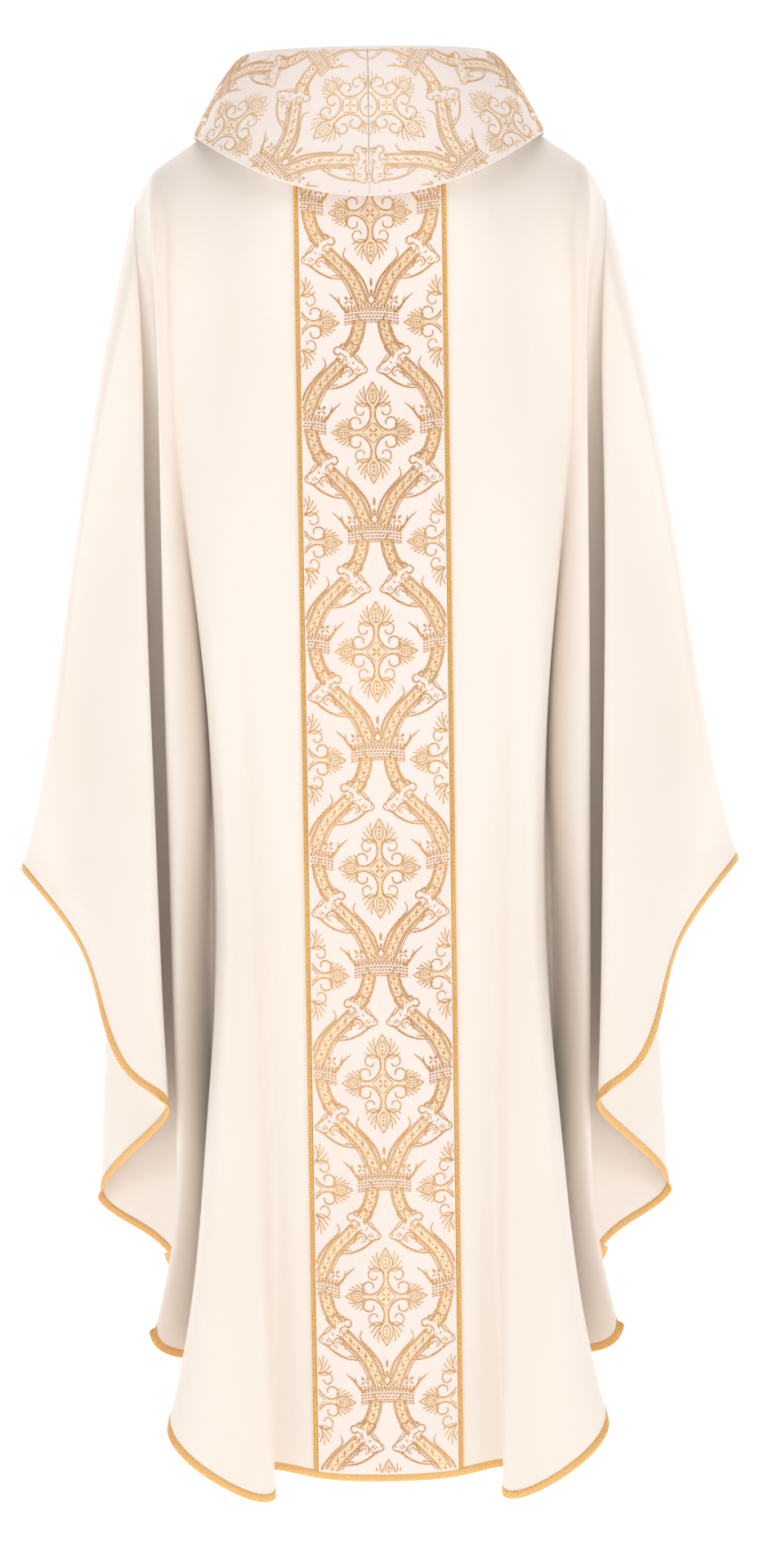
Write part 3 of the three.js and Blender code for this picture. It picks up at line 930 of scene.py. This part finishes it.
    def crown(self) -> None:
        """The ring that ties two stems, with rows of dashes, horns and sprigs."""
        middle, half = self.crown_middle, self.crown_half
        for row, drop in enumerate(self.crown_rows):
            count = 17 - row % 2
            for k in range(count):
                x = (k - (count - 1) / 2) * 2 * (half - 1.2) / (count - 1)
                y = middle + drop - self.crown_arch * (x / half) ** 2
                if row == 0:
                    self.draw([(x, y - 1.2), (x * 1.04, y + 1.8)], 1.3, both=False)
                else:
                    self.draw([(x - 0.9, y), (x + 0.9, y)], 1.5, both=False)
        for drop in (4.9, -7.2):
            arch = [(x, middle + drop - self.crown_arch * (x / half) ** 2)
                    for x in (-half, -12.0, 0.0, 12.0, half)]
            self.draw(arch, 0.7, both=False)
        horn = [(20, -86), (24.5, -82.5), (29, -76), (36.5, -69.5)]
        self.draw(horn, 1.7, taper=(1.0, 0.3), swell=0.3)
        self.draw([(27.5, -78), (28.5, -72)], 1.3, taper=(1.0, 0.4))
        for x, y in ((3.4, 3.0), (-3.4, 3.0), (3.2, -3.0), (-3.2, -3.0)):
            self.draw([(19.5 + x * 0.25, -75.5 + y * 0.25), (19.5 + x, -75.5 + y)], 2.4,
                      taper=(0.4, 0.6), swell=0.4)
        self.draw([(0, -63), (0, -60), (0, -56)], 2.2, taper=(0.5, 0.3), swell=0.6, both=False)
        self.draw([(0, -79), (3.2, -74.5), (0, -70), (0, -66)], 1.3)
        self.draw([(4, -79), (9.5, -76)], 1.8, taper=(0.5, 0.8))

    def trunk(self) -> None:
        """The curved stem from a crown up to the next one, with its leaf joint."""
        lower = [(7.0, -79), (10.5, -70), (16.5, -57), (25.0, -46.5), (34.0, -37.5), (38.5, -33.0)]
        upper = [(42.5, -26.0), (48.0, -18.0), (52.0, -8.0), (53.5, 2.0)]
        for part, ends in ((lower, (1.1, 0.55)), (upper, (0.5, 1.0))):
            self.draw(part, self.trunk_width, False, ends, 0.22)
            for share in (0.5, -0.5, 0.36, -0.36):
                edge = self.offset(part, share * self.trunk_width)
                self.draw(edge, self.line if abs(share) == 0.5 else self.fine_line)
            path = smooth_path(part, 4.6)
            for k, (x, y) in enumerate(path[1:-1]):
                if k % 2:
                    for dx, dy, width in ((1.8, 0.4, 1.5), (0.0, 1.9, 1.3)):
                        self.draw([(x - dx, y - dy), (x + dx, y + dy)], width, taper=(0.5, 0.5), swell=0.5)
                else:
                    for dx, dy in ((2.6, 1.0), (-2.6, -1.0), (0.4, 0.0)):
                        self.draw([(x + dx, y + dy - 0.8), (x + dx, y + dy + 0.8)], 1.1)
        self.draw(self.offset(lower, -7.2)[1:-1], self.line, taper=(0.5, 1.0))
        for path, width in self.joint:
            self.draw(path, width, taper=(0.9, 0.5), swell=0.15)
        for path, width in self.tendrils:
            self.draw(path, width, taper=(0.35, 0.8), swell=0.25)

    def build(self) -> list[Stroke]:
        """Draws the whole repeat.

        Returns:
            Its strokes.
        """
        self.cross()
        self.crown()
        self.trunk()
        return self.strokes


@dataclass
class SurfaceMap:
    """A cloth surface that flat figures can be laid on."""

    points: np.ndarray
    normals: np.ndarray
    first: np.ndarray
    second: np.ndarray

    def read(self, a: np.ndarray, b: np.ndarray, lift: np.ndarray) -> np.ndarray:
        """Points over the surface.

        Args:
            a: Place along the first direction.
            b: Place along the second direction.
            lift: Height over the surface, in metres.

        Returns:
            The points.
        """
        row = np.interp(a, self.first, np.arange(len(self.first)))
        column = np.interp(b, self.second, np.arange(len(self.second)))
        i = np.clip(row.astype(int), 0, len(self.first) - 2)
        j = np.clip(column.astype(int), 0, len(self.second) - 2)
        x, y = (row - i)[:, None], (column - j)[:, None]

        def blend(values: np.ndarray) -> np.ndarray:
            """Reads a grid of values between its points.

            Args:
                values: The grid.

            Returns:
                The values.
            """
            low = values[i, j] * (1 - y) + values[i, j + 1] * y
            high = values[i + 1, j] * (1 - y) + values[i + 1, j + 1] * y
            return low * (1 - x) + high * x

        return blend(self.points) + blend(self.normals) * lift[:, None]


def lay_strokes(name: str, strokes: list[Stroke],
                to_surface: Callable[[np.ndarray, np.ndarray], np.ndarray],
                inside: Callable[[np.ndarray], np.ndarray], is_line: bool, base: float,
                finish: Finish) -> bpy.types.Object:
    """Makes one mesh of all the strokes of a kind, laid on a surface.

    Args:
        name: Name of the piece.
        strokes: The strokes, in the figure's own flat frame.
        to_surface: Gives points for flat places and lifts.
        inside: Tells which flat places are on the cloth.
        is_line: Which kind of stroke to take.
        base: Height of their lower edges over the surface, in metres.
        finish: Their finish.

    Returns:
        The object.
    """
    points, faces, places = [], [], []
    count = 0
    rise = OUTLINE_RISE if is_line else FIGURE_RISE
    for order, stroke in enumerate(s for s in strokes if s.is_line == is_line):
        path = stroke.points
        slope = unit(np.gradient(path, axis=0))
        square = np.stack([-slope[:, 1], slope[:, 0]], axis=1)
        half = stroke.widths[:, None] / 2
        kept = inside(path)
        edges = np.flatnonzero(np.diff(np.concatenate([[0], kept.astype(int), [0]])))
        for start, stop in zip(edges[::2], edges[1::2]):
            if stop - start < 2:
                continue
            part = slice(start, stop)
            middle, reach = path[part], square[part] * half[part]
            flat = np.stack([middle - reach, middle, middle + reach], axis=1).reshape(-1, 2)
            stations = stop - start
            step = base + (order % LAYERS) * LAYER_STEP
            lift = np.tile([step, step + rise, step], stations)
            points.append(to_surface(flat, lift))
            places.append(flat * MM)
            i = np.arange(stations - 1) * 3 + count
            for k in range(3):
                a, b = i + k, i + (k + 1) % 3
                faces += [np.stack([a, b, b + 3], axis=1), np.stack([a, b + 3, a + 3], axis=1)]
            end = count + (stations - 1) * 3
            faces.append(np.array([[count + 2, count + 1, count], [end, end + 1, end + 2]]))
            count += stations * 3
    return add_mesh(name, np.concatenate(points), np.concatenate(faces), np.concatenate(places), finish)


def repeats(brocade: Brocade, centres: list[tuple[int, int]]) -> list[Stroke]:
    """Copies of a figure at several centres.

    Args:
        brocade: The figure, not yet drawn.
        centres: Where each copy goes, in half repeats across and along.

    Returns:
        The strokes of every copy.
    """
    strokes = brocade.build()
    return [Stroke(s.points + np.array([i * brocade.across, j * brocade.along]), s.widths, s.is_line)
            for i, j in centres for s in strokes]


# ---------------------------------------------------------------------------------------------
# Sub-assemblies


@dataclass
class Drape:
    """The four quarters of the cloth, with the binding and stitching round the hem."""

    thickness: float = 0.8 * MM
    columns: int = 171
    rows: int = 150
    binding_in: float = -0.8 * MM
    binding_out: float = 6.6 * MM
    binding_thickness: float = 2.0 * MM
    stitch_length: float = 2.4 * MM
    stitch_pitch: float = 3.6 * MM
    stitch_inset: float = -0.2 * MM
    stitch_half: float = 0.28 * MM
    stitch_rise: float = 0.3 * MM
    stitch_end: float = 0.05 * MM
    hem_stations: int = 520
    hem_probe: float = 0.994
    blend_height: float = -0.4
    fixed_reach: float = 0.12
    moving_reach: float = 0.24
    flat_width: float = 0.86
    flat_length: float = 1.25
    flat_area: float = 0.57

    def bend(self, piece: bpy.types.Object, side: Side) -> None:
        """Bakes a piece's transform into its mesh.

        Args:
            piece: The piece.
            side: Its side; not used.
        """
        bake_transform(piece)

    def hem(self, side: Side, face: Face) -> tuple[np.ndarray, np.ndarray, np.ndarray]:
        """The hem line with its outward and upward directions.

        Args:
            side: Left or right.
            face: Back or front.

        Returns:
            Points, directions out of the hem and normals.
        """
        u = np.linspace(0, NET.last, self.hem_stations)
        strip = NET.points(side, face, u, np.array([self.hem_probe, 1.0]))
        path = strip[:, 1]
        along = unit(np.gradient(path, axis=0))
        down = strip[:, 1] - strip[:, 0]
        down[-1] = down[-6]  # the last line has no length, so it takes a neighbour's direction
        outward = unit(down - along * np.einsum("ij,ij->i", down, along)[:, None])
        normal = np.cross(outward, along) * side.value * face.value
        return path, outward, normal

    def quarter(self, side: Side, face: Face) -> None:
        """Builds one quarter.

        Args:
            side: Left or right.
            face: Back or front.
        """
        word = f"{face.name.lower()}_{side.name.lower()}"
        u = np.linspace(0, NET.last, self.columns)
        t = np.linspace(0, 1, self.rows)
        surface = NET.points(side, face, u, t)
        normal = normals_of(surface) * side.value * face.value
        normal[-1] = normal[-2]
        half = self.thickness / 2
        cloth = closed_sheet(f"cloth_{word}", surface, normal, -half, half, IVORY)
        path, outward, up = self.hem(side, face)
        thick = self.binding_thickness / 2
        profile = ribbon_profile(self.binding_in, self.binding_out, -thick, thick)
        binding = swept_strip(f"binding_{word}", path, outward, up, profile, BINDING)
        stitches = self.stitches(f"hem_stitches_{word}", path, outward, up, thick)
        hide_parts(f"{word}_panel", f"{word}_side_fall")
        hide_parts(f"{word}_hem_binding", f"{word}_side_hem_binding")
        for piece in (cloth, binding, stitches):
            self.bend(piece, side)

    def stitches(self, name: str, path: np.ndarray, outward: np.ndarray, up: np.ndarray,
                 height: float) -> bpy.types.Object:
        """A row of stitches along a path.

        Args:
            name: Name of the piece.
            path: The path.
            outward: Direction across it at each point.
            up: Direction out of the cloth.
            height: Height over the path.

        Returns:
            The object.
        """
        length = distances(path)
        starts = np.arange(self.stitch_pitch / 2, length[-1] - self.stitch_length, self.stitch_pitch)

        def read(values: np.ndarray, at: np.ndarray) -> np.ndarray:
            """Reads values given along the path at other distances."""
            return np.stack([np.interp(at, length, values[:, k]) for k in range(3)], axis=1)

        rings = []
        for share in (0.0, 0.5, 1.0):
            at = starts + share * self.stitch_length
            middle = read(path, at) + read(outward, at) * self.stitch_inset + read(up, at) * height
            tall = self.stitch_end + self.stitch_rise * math.sin(math.pi * share)
            out, over = read(outward, at) * self.stitch_half, read(up, at)
            rings.append(np.stack([middle - out, middle + over * tall, middle + out,
                                   middle - over * self.stitch_rise], axis=1))
        points = np.stack(rings, axis=1).reshape(-1, 3)
        base = np.arange(len(starts))[:, None] * 12
        faces = [base + np.array([[0, 1, 2, 3]]), base + np.array([[11, 10, 9, 8]])]
        for ring in (0, 4):
            for k in range(4):
                n = (k + 1) % 4
                faces.append(base + np.array([[ring + k, ring + 4 + k, ring + 4 + n, ring + n]]))
        places = np.tile(np.stack([np.arange(12) * 0.2 * MM, np.arange(12) * 0.3 * MM], axis=1),
                         (len(starts), 1))
        return add_mesh(name, points, np.concatenate(faces), places, THREAD)

    def build(self) -> None:
        """Builds the four quarters."""
        for face in Face:
            for side in Side:
                self.quarter(side, face)


@dataclass
class Orphrey:
    """A brocade band down the middle of the back or the front, between two braids."""

    half_width: float = 62.0 * MM
    low: float = 0.55 * MM
    high: float = 1.35 * MM
    top_row: float = 1 / 11
    first_cross: float = 92.0
    braid_gap: float = 0.3 * MM
    braid_width: float = 3.6 * MM
    braid_height: float = 2.3 * MM
    flat_length: float = 1.22
    margin: float = 61.0
    end_margins: tuple[float, float] = (2.0, 1.5)
    figure_lift: float = 0.02 * MM
    outline_lift: float = 0.22 * MM
    braid_low: float = 0.42 * MM
    braid_stations: int = 420
    braid_probe: float = 1.5
    map_reach: float = 70.0
    map_step: float = 2.0
    map_lines: float = 1.5
    map_rows: int = 400

    def surface(self, face: Face) -> SurfaceMap:
        """The cloth under the band, on an even grid.

        Args:
            face: Back or front.

        Returns:
            The surface, measured in millimetres across and down.
        """
        dense = np.linspace(self.top_row, 1, 500)
        middle = NET.points(Side.RIGHT, face, np.zeros(1), dense)[0]
        length = distances(middle)
        down = np.linspace(0, length[-1], self.map_rows)
        t = np.interp(down, length, dense)
        u = np.linspace(0, self.map_lines, 150)
        half = NET.points(Side.RIGHT, face, u, t)
        reach = np.arange(0, self.map_reach + 0.1, self.map_step) * MM
        grid = np.empty((len(reach), len(t), 3))
        for j in range(len(t)):
            for k in range(3):
                grid[:, j, k] = np.interp(reach, half[:, j, 0], half[:, j, k])
        full = np.concatenate([grid[:0:-1] * np.array([-1, 1, 1]), grid])
        normal = normals_of(full) * face.value
        across = np.concatenate([-reach[:0:-1], reach]) / MM
        return SurfaceMap(full, normal, across, down / MM)

    def build(self, face: Face) -> None:
        """Builds one band with its figures and braids.

        Args:
            face: Back or front.
        """
        word = face.name.lower()
        cloth = self.surface(face)
        inside = np.abs(cloth.first) <= self.half_width / MM + 0.1
        band = closed_sheet(f"orphrey_{word}", cloth.points[inside], cloth.normals[inside],
                            self.low, self.high, GROUND)
        brocade = Brocade()
        length = float(cloth.second[-1])
        reach = int(length / brocade.along) + 2
        centres = [(i, -j) for i in (-1, 0, 1) for j in range(-1, reach) if (i + j) % 2 == 0]
        copies = repeats(brocade, centres)

        def to_surface(flat: np.ndarray, lift: np.ndarray) -> np.ndarray:
            """Points over the band, kept off its edges.

            Args:
                flat: Flat places.
                lift: Heights over the cloth.

            Returns:
                The points.
            """
            x = np.clip(flat[:, 0], -self.margin, self.margin)
            return cloth.read(x, self.first_cross - flat[:, 1], lift)

        def is_inside(flat: np.ndarray) -> np.ndarray:
            """Which flat places are on the band.

            Args:
                flat: Flat places.

            Returns:
                True for each one on it.
            """
            down = self.first_cross - flat[:, 1]
            top, bottom = self.end_margins
            return (np.abs(flat[:, 0]) < self.margin) & (down > top) & (down < length - bottom)

        figures = [
            lay_strokes(f"orphrey_{word}_figure", copies, to_surface, is_inside, False,
                        self.high + self.figure_lift, FIGURE),
            lay_strokes(f"orphrey_{word}_outline", copies, to_surface, is_inside, True,
                        self.high + self.outline_lift, OUTLINE),
        ]
        braids = [self.braid(face, side, cloth) for side in Side]
        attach(band, "root")
        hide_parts(f"{word}_orphrey")
        for piece in (*figures, *braids):
            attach(piece, "root")

    def braid(self, face: Face, side: Side, cloth: SurfaceMap) -> bpy.types.Object:
        """The narrow braid along one edge of the band.

        Args:
            face: Back or front.
            side: Left or right edge.
            cloth: The cloth under it.

        Returns:
            The object.
        """
        middle = (self.half_width + self.braid_gap + self.braid_width / 2) / MM
        down = np.linspace(0, cloth.second[-1], self.braid_stations)
        x = np.full_like(down, side.value * middle)
        path = cloth.read(x, down, np.zeros_like(down))
        outward = unit(path - cloth.read(x - side.value * self.braid_probe, down, np.zeros_like(down)))
        up = cloth.read(x, down, np.full_like(down, 1.0)) - path
        half = self.braid_width / 2
        profile = ribbon_profile(-half, half, self.braid_low, self.braid_height)
        word, edge = face.name.lower(), side.name.lower()
        braid = swept_strip(f"braid_{word}_{edge}", path, outward, up, profile, BRAID)
        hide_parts(f"{word}_{edge}_braid")
        return braid


@dataclass
class Collar:
    """The roll collar: brocade outside, a facing inside, and the neckband, all in millimetres."""

    rise: float = 38.0
    fall_back: float = 130.0
    fall_front: float = 178.0
    reach_side: float = 157.0
    reach_back: float = 135.5
    fullness: float = 0.8
    lean: float = 9.0
    swell: float = 4.0
    seam_gap: float = 0.25
    rest: float = 5.0
    cloth: float = 1.3
    facing: float = 0.8
    band_height: float = 12.0
    cross_across: float = 16.3
    cross_down: float = 58.0
    figure_lift: float = 0.03
    outline_lift: float = 0.2
    seam_margin: float = 0.8
    front_margin: float = 1.5
    fall_margins: tuple[float, float] = (0.01, 0.985)
    swell_power: float = 0.7
    roll_radius: float = 1.6
    roll_turn: float = 150.0
    roll_steps: int = 6
    fall_rows: int = 41
    girth_row: int = 22
    facing_inset: float = 4.0
    facing_top_inset: float = 3.6
    facing_reach: tuple[float, float] = (0.03, 0.99)
    band_inset: float = 8.5
    band_half: float = 0.6
    angles: int = 121
    outer_flat: tuple[float, float] = (0.46, 0.2)
    outer_area: float = 0.066
    facing_flat: tuple[float, float] = (0.32, 0.045)
    band_flat: tuple[float, float] = (0.55, 0.012)

    @staticmethod
    def outward(ring: np.ndarray) -> np.ndarray:
        """Level directions out from the middle of the neck at each point of a ring."""
        return unit(ring * np.array([1, 1, 0]))

    def neck_ring(self, angle: np.ndarray, inset: float) -> np.ndarray:
        """A ring at the neckline seam.

        Args:
            angle: Angles from the centre back.
            inset: Distance inside the seam.

        Returns:
            Points.
        """
        cosine = np.cos(angle)
        return np.stack([(NET.neck_width - inset) * np.sin(angle),
                         -(NET.neck_depth - inset) * cosine, NET.neck_height(cosine)], axis=-1)

    def roll_ring(self, angle: np.ndarray, inset: float = 1.0) -> np.ndarray:
        """The top of the roll.

        Args:
            angle: Angles from the centre back.
            inset: Distance inside the neckline seam.

        Returns:
            Points.
        """
        ring = self.neck_ring(angle, inset) + np.array([0, 0, self.rise])
        ring[..., 0] += self.lean * np.sin(angle)
        return ring

    def shoulder_height(self, reach: float) -> float:
        """Height of the shoulder at a distance from the centre.

        Args:
            reach: The distance.

        Returns:
            The height.
        """
        across, height = zip(*NET.ridge)
        return float(np.interp(reach, across, height))

    def edge_ring(self, angle: np.ndarray) -> np.ndarray:
        """The free edge.

        Args:
            angle: Angles from the centre back.

        Returns:
            Points.
        """
        cosine = np.cos(angle)
        centre = np.where(cosine < 0, self.fall_front, self.fall_back)
        top = NET.ridge[0][1] + self.rise
        side = top - self.shoulder_height(self.reach_side) - self.rest
        fall = side + (centre - side) * cosine**2
        depth = self.reach_back * np.sign(cosine) * np.abs(cosine) ** self.fullness
        return np.stack([self.reach_side * np.sin(angle), -depth, top - fall], axis=-1)

    def outer(self, angle: np.ndarray, share: np.ndarray) -> np.ndarray:
        """The falling half of the collar.

        Args:
            angle: Angles from the centre back.
            share: Places from the roll to the free edge.

        Returns:
            Grid of points.
        """
        roll, edge = self.roll_ring(angle), self.edge_ring(angle)
        swell = self.swell * np.sin(math.pi * np.clip(share, 0, 1) ** self.swell_power)
        lift = (self.outward(roll)[:, None] + np.array([0, 0, 0.5])) * swell[None, :, None]
        return roll[:, None] + (edge - roll)[:, None] * share[None, :, None] + lift

    def half(self, side: Side) -> None:
        """Builds one half of the collar.

        Args:
            side: Left or right.
        """
        word = side.name.lower()
        flip = np.array([side.value, 1, 1]) * MM
        angle = np.linspace(0, math.pi, self.angles)
        share = np.linspace(0.0, 1.0, self.fall_rows)
        fall = self.outer(angle, share)
        roll = self.roll_ring(angle)
        out = self.outward(roll)
        turn = np.radians(np.linspace(0, self.roll_turn, self.roll_steps + 1))[:-1]
        over = (roll[:, None] - out[:, None] * (self.roll_radius * (1 + np.cos(turn)))[None, :, None]
                + np.array([0, 0, 1.0]) * (self.roll_radius * np.sin(turn))[None, :, None])
        full = np.concatenate([over, fall], axis=1)
        full[..., 0] = np.maximum(full[..., 0], self.seam_gap)
        full = full * flip
        normal = normals_of(full) * side.value
        normal = normal * np.sign(np.sum(normal[:, -1] * (out * flip), axis=-1).mean())
        piece = closed_sheet(f"collar_outer_{word}", full, normal, -self.cloth * MM, 0.0, GROUND)
        fall_map = SurfaceMap(full[:, self.roll_steps:], normal[:, self.roll_steps:], angle, share)
        figures = self.figures(word, fall_map, fall)
        stand = self.stand(side)
        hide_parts(f"collar_{word}")
        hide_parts(f"collar_facing_{word}")
        for item in (piece, stand, *figures):
            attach(item, "root")

    def figures(self, word: str, fall_map: SurfaceMap, fall: np.ndarray) -> list[bpy.types.Object]:
        """The brocade figures of one half, turned a half right angle.

        Args:
            word: Left or right.
            fall_map: The falling half of the collar.
            fall: Its points, in millimetres.

        Returns:
            The two meshes of figures.
        """
        centres = [(i, j) for i in range(-6, 9) for j in range(-7, 4) if (i + j) % 2 == 0]
        copies = repeats(Brocade(), centres)
        girth = run_lengths(fall, 0)[:, self.girth_row]
        depth = run_lengths(fall, 1)[:, -1]
        slant = math.sqrt(0.5)

        def develop(flat: np.ndarray) -> tuple[np.ndarray, np.ndarray, np.ndarray]:
            """Where flat places come to lie on the collar.

            Args:
                flat: Flat places.

            Returns:
                Distances round the collar, angles, and shares of the way down.
            """
            across = self.cross_across + slant * (flat[:, 0] - flat[:, 1])
            down = self.cross_down - slant * (flat[:, 0] + flat[:, 1])
            at = np.interp(across, girth, fall_map.first)
            return across, at, down / np.interp(at, fall_map.first, depth)

        def to_surface(flat: np.ndarray, lift: np.ndarray) -> np.ndarray:
            """Points over the collar.

            Args:
                flat: Flat places.
                lift: Heights over the collar.

            Returns:
                The points.
            """
            _, at, share = develop(flat)
            return fall_map.read(at, np.clip(share, 0, 1), lift)

        def is_inside(flat: np.ndarray) -> np.ndarray:
            """Which flat places are on the collar.

            Args:
                flat: Flat places.

            Returns:
                True for each one on it.
            """
            across, _, share = develop(flat)
            top, bottom = self.fall_margins
            return ((across > self.seam_margin) & (across < girth[-1] - self.front_margin)
                    & (share > top) & (share < bottom))

        # The collar's figures take the lighter copies of the band's colours, which are painted light from
        # above.
        return [
            lay_strokes(f"collar_figure_{word}", copies, to_surface, is_inside, False,
                        self.figure_lift * MM, PAINTED_LIT_COLLAR_FIGURE),
            lay_strokes(f"collar_outline_{word}", copies, to_surface, is_inside, True,
                        self.outline_lift * MM, PAINTED_LIT_COLLAR_OUTLINE),
        ]

    def stand(self, side: Side) -> bpy.types.Object:
        """The facing that rises inside the collar from the neckline.

        Args:
            side: Left or right.

        Returns:
            The object.
        """
        angle = np.linspace(0, math.pi, self.angles)
        share = np.linspace(*self.facing_reach, 9)
        low = self.neck_ring(angle, self.facing_inset)
        high = self.roll_ring(angle)
        high = high - self.facing_top_inset * self.outward(high)
        grid = low[:, None] + (high - low)[:, None] * share[None, :, None]
        grid = grid * np.array([side.value, 1, 1]) * MM
        normal = normals_of(grid)
        return closed_sheet(f"collar_facing_inner_{side.name.lower()}", grid, normal, 0.0,
                            self.facing * MM, LINING)

    def neckband(self) -> None:
        """The narrow band inside the neckline seam."""
        angle = np.linspace(0, 2 * math.pi, 181)[:-1]
        heights = np.linspace(-0.5, 0.5, 7) * self.band_height
        ring = self.neck_ring(angle, self.band_inset)
        grid = ring[:, None] + np.array([0, 0, 1.0]) * heights[None, :, None]
        outward = np.stack([np.sin(angle), -np.cos(angle), np.zeros_like(angle)], axis=-1)
        normal = np.repeat(outward[:, None], len(heights), axis=1)
        half = self.band_half * MM
        piece = closed_sheet("neckband_inner", grid * MM, normal, -half, half, LINING, ring=True)
        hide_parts("neckband")
        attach(piece, "root")

    def build(self) -> None:
        """Builds the whole collar."""
        self.neckband()
        for side in Side:
            self.half(side)


# ---------------------------------------------------------------------------------------------
# Studio


@dataclass
class Studio:
    """Camera, floor, backdrop and soft lights."""

    distance: float = 3.5
    elevation: float = 6.0
    roll: float = -0.85
    aim_height: float = -0.62
    offset: float = 0.007
    lens: float = 88.3
    floor_height: float = -1.5
    floor_front: float = -24.0
    floor_back: float = 7.0
    curve: float = 4.0
    backdrop_height: float = 21.0
    half_width: float = 24.0
    glow: float = 0.8
    world: float = 0.28
    world_colour: Colour = (1.0, 0.9, 0.8)
    light_colour: Colour = (0.97, 1.0, 1.04)
    lights: tuple = (
        ("left_soft_light", (-3.0, -2.4, 0.9), 1.8, 24),
        ("right_soft_light", (3.0, -2.4, 0.9), 1.8, 24),
        ("high_soft_light", (0.0, -1.4, 2.3), 2.2, 28),
        ("far_soft_light", (0.0, 2.4, 1.6), 2.0, 5),
    )

    def camera(self) -> None:
        """Puts the camera behind the garment, a little above its middle."""
        data = bpy.data.cameras.new("camera")
        data.lens = self.lens
        data.sensor_fit = "VERTICAL"
        data.sensor_height = 36.0
        data.dof.use_dof = False
        camera = bpy.data.objects.new("camera", data)
        bpy.context.scene.collection.objects.link(camera)
        tilt = math.radians(self.elevation)
        place = Matrix.Translation((self.offset, -self.distance * math.cos(tilt),
                                    self.aim_height + self.distance * math.sin(tilt)))
        turn = Matrix.Rotation(math.radians(90 - self.elevation), 4, "X")
        camera.matrix_world = place @ turn @ Matrix.Rotation(math.radians(self.roll), 4, "Z")
        bpy.context.scene.camera = camera

    def plain(self) -> bpy.types.Material:
        """A plain white material that glows a little.

        Returns:
            The material.
        """
        material = bpy.data.materials.new("studio_white")
        material.use_nodes = True
        shader = material.node_tree.nodes["Principled BSDF"]
        shader.inputs["Base Color"].default_value = (0.94, 0.93, 0.92, 1)
        shader.inputs["Roughness"].default_value = 0.9
        shader.inputs["Emission Color"].default_value = (1, 1, 1, 1)
        shader.inputs["Emission Strength"].default_value = self.glow
        return material

    def sweep(self) -> None:
        """A pale floor that curves up into a backdrop."""
        back, floor = self.floor_back, self.floor_height
        bend = [(self.floor_front, floor), (back, floor)]
        bend += [(back + self.curve * math.sin(a), floor + self.curve * (1 - math.cos(a)))
                 for a in np.radians(np.linspace(5, 90, 18))]
        bend += [(back + self.curve, floor + self.backdrop_height)]
        points = [(x, y, z) for y, z in bend for x in (-self.half_width, self.half_width)]
        faces = [(2 * k, 2 * k + 1, 2 * k + 3, 2 * k + 2) for k in range(len(bend) - 1)]
        mesh = bpy.data.meshes.new("studio_sweep")
        mesh.from_pydata(points, [], faces)
        mesh.shade_smooth()
        mesh.materials.append(self.plain())
        sweep = bpy.data.objects.new("studio_sweep", mesh)
        bpy.context.scene.collection.objects.link(sweep)

    def light(self, name: str, place: tuple[float, float, float], size: float, power: float) -> None:
        """A soft light turned to the middle of the garment.

        Args:
            name: Its name.
            place: Where it stands.
            size: Its width.
            power: Its power, in watts.
        """
        data = bpy.data.lights.new(name, "AREA")
        data.size = size
        data.energy = power
        data.color = self.light_colour
        lamp = bpy.data.objects.new(name, data)
        bpy.context.scene.collection.objects.link(lamp)
        aim = np.array([0.0, 0.0, self.aim_height]) - np.array(place)
        heading = math.atan2(aim[0], aim[1])
        rise = math.atan2(aim[2], math.hypot(aim[0], aim[1]))
        lamp.matrix_world = (Matrix.Translation(place) @ Matrix.Rotation(-heading, 4, "Z")
                             @ Matrix.Rotation(math.pi / 2 + rise, 4, "X"))

    def build(self) -> None:
        """Sets the whole studio up."""
        world = bpy.data.worlds.new("soft_room")
        world.use_nodes = True
        background = world.node_tree.nodes["Background"]
        background.inputs["Color"].default_value = (*self.world_colour, 1)
        background.inputs["Strength"].default_value = self.world
        bpy.context.scene.world = world
        bpy.context.scene.view_settings.view_transform = "Standard"
        self.sweep()
        for name, place, size, power in self.lights:
            self.light(name, place, size, power)


def main() -> None:
    """Builds the whole scene."""
    logging.basicConfig(level=logging.INFO)
    studio = Studio()
    studio.camera()
    Drape().build()
    for face in Face:
        Orphrey().build(face)
    Collar().build()
    studio.build()


if __name__ == "__main__":
    main()
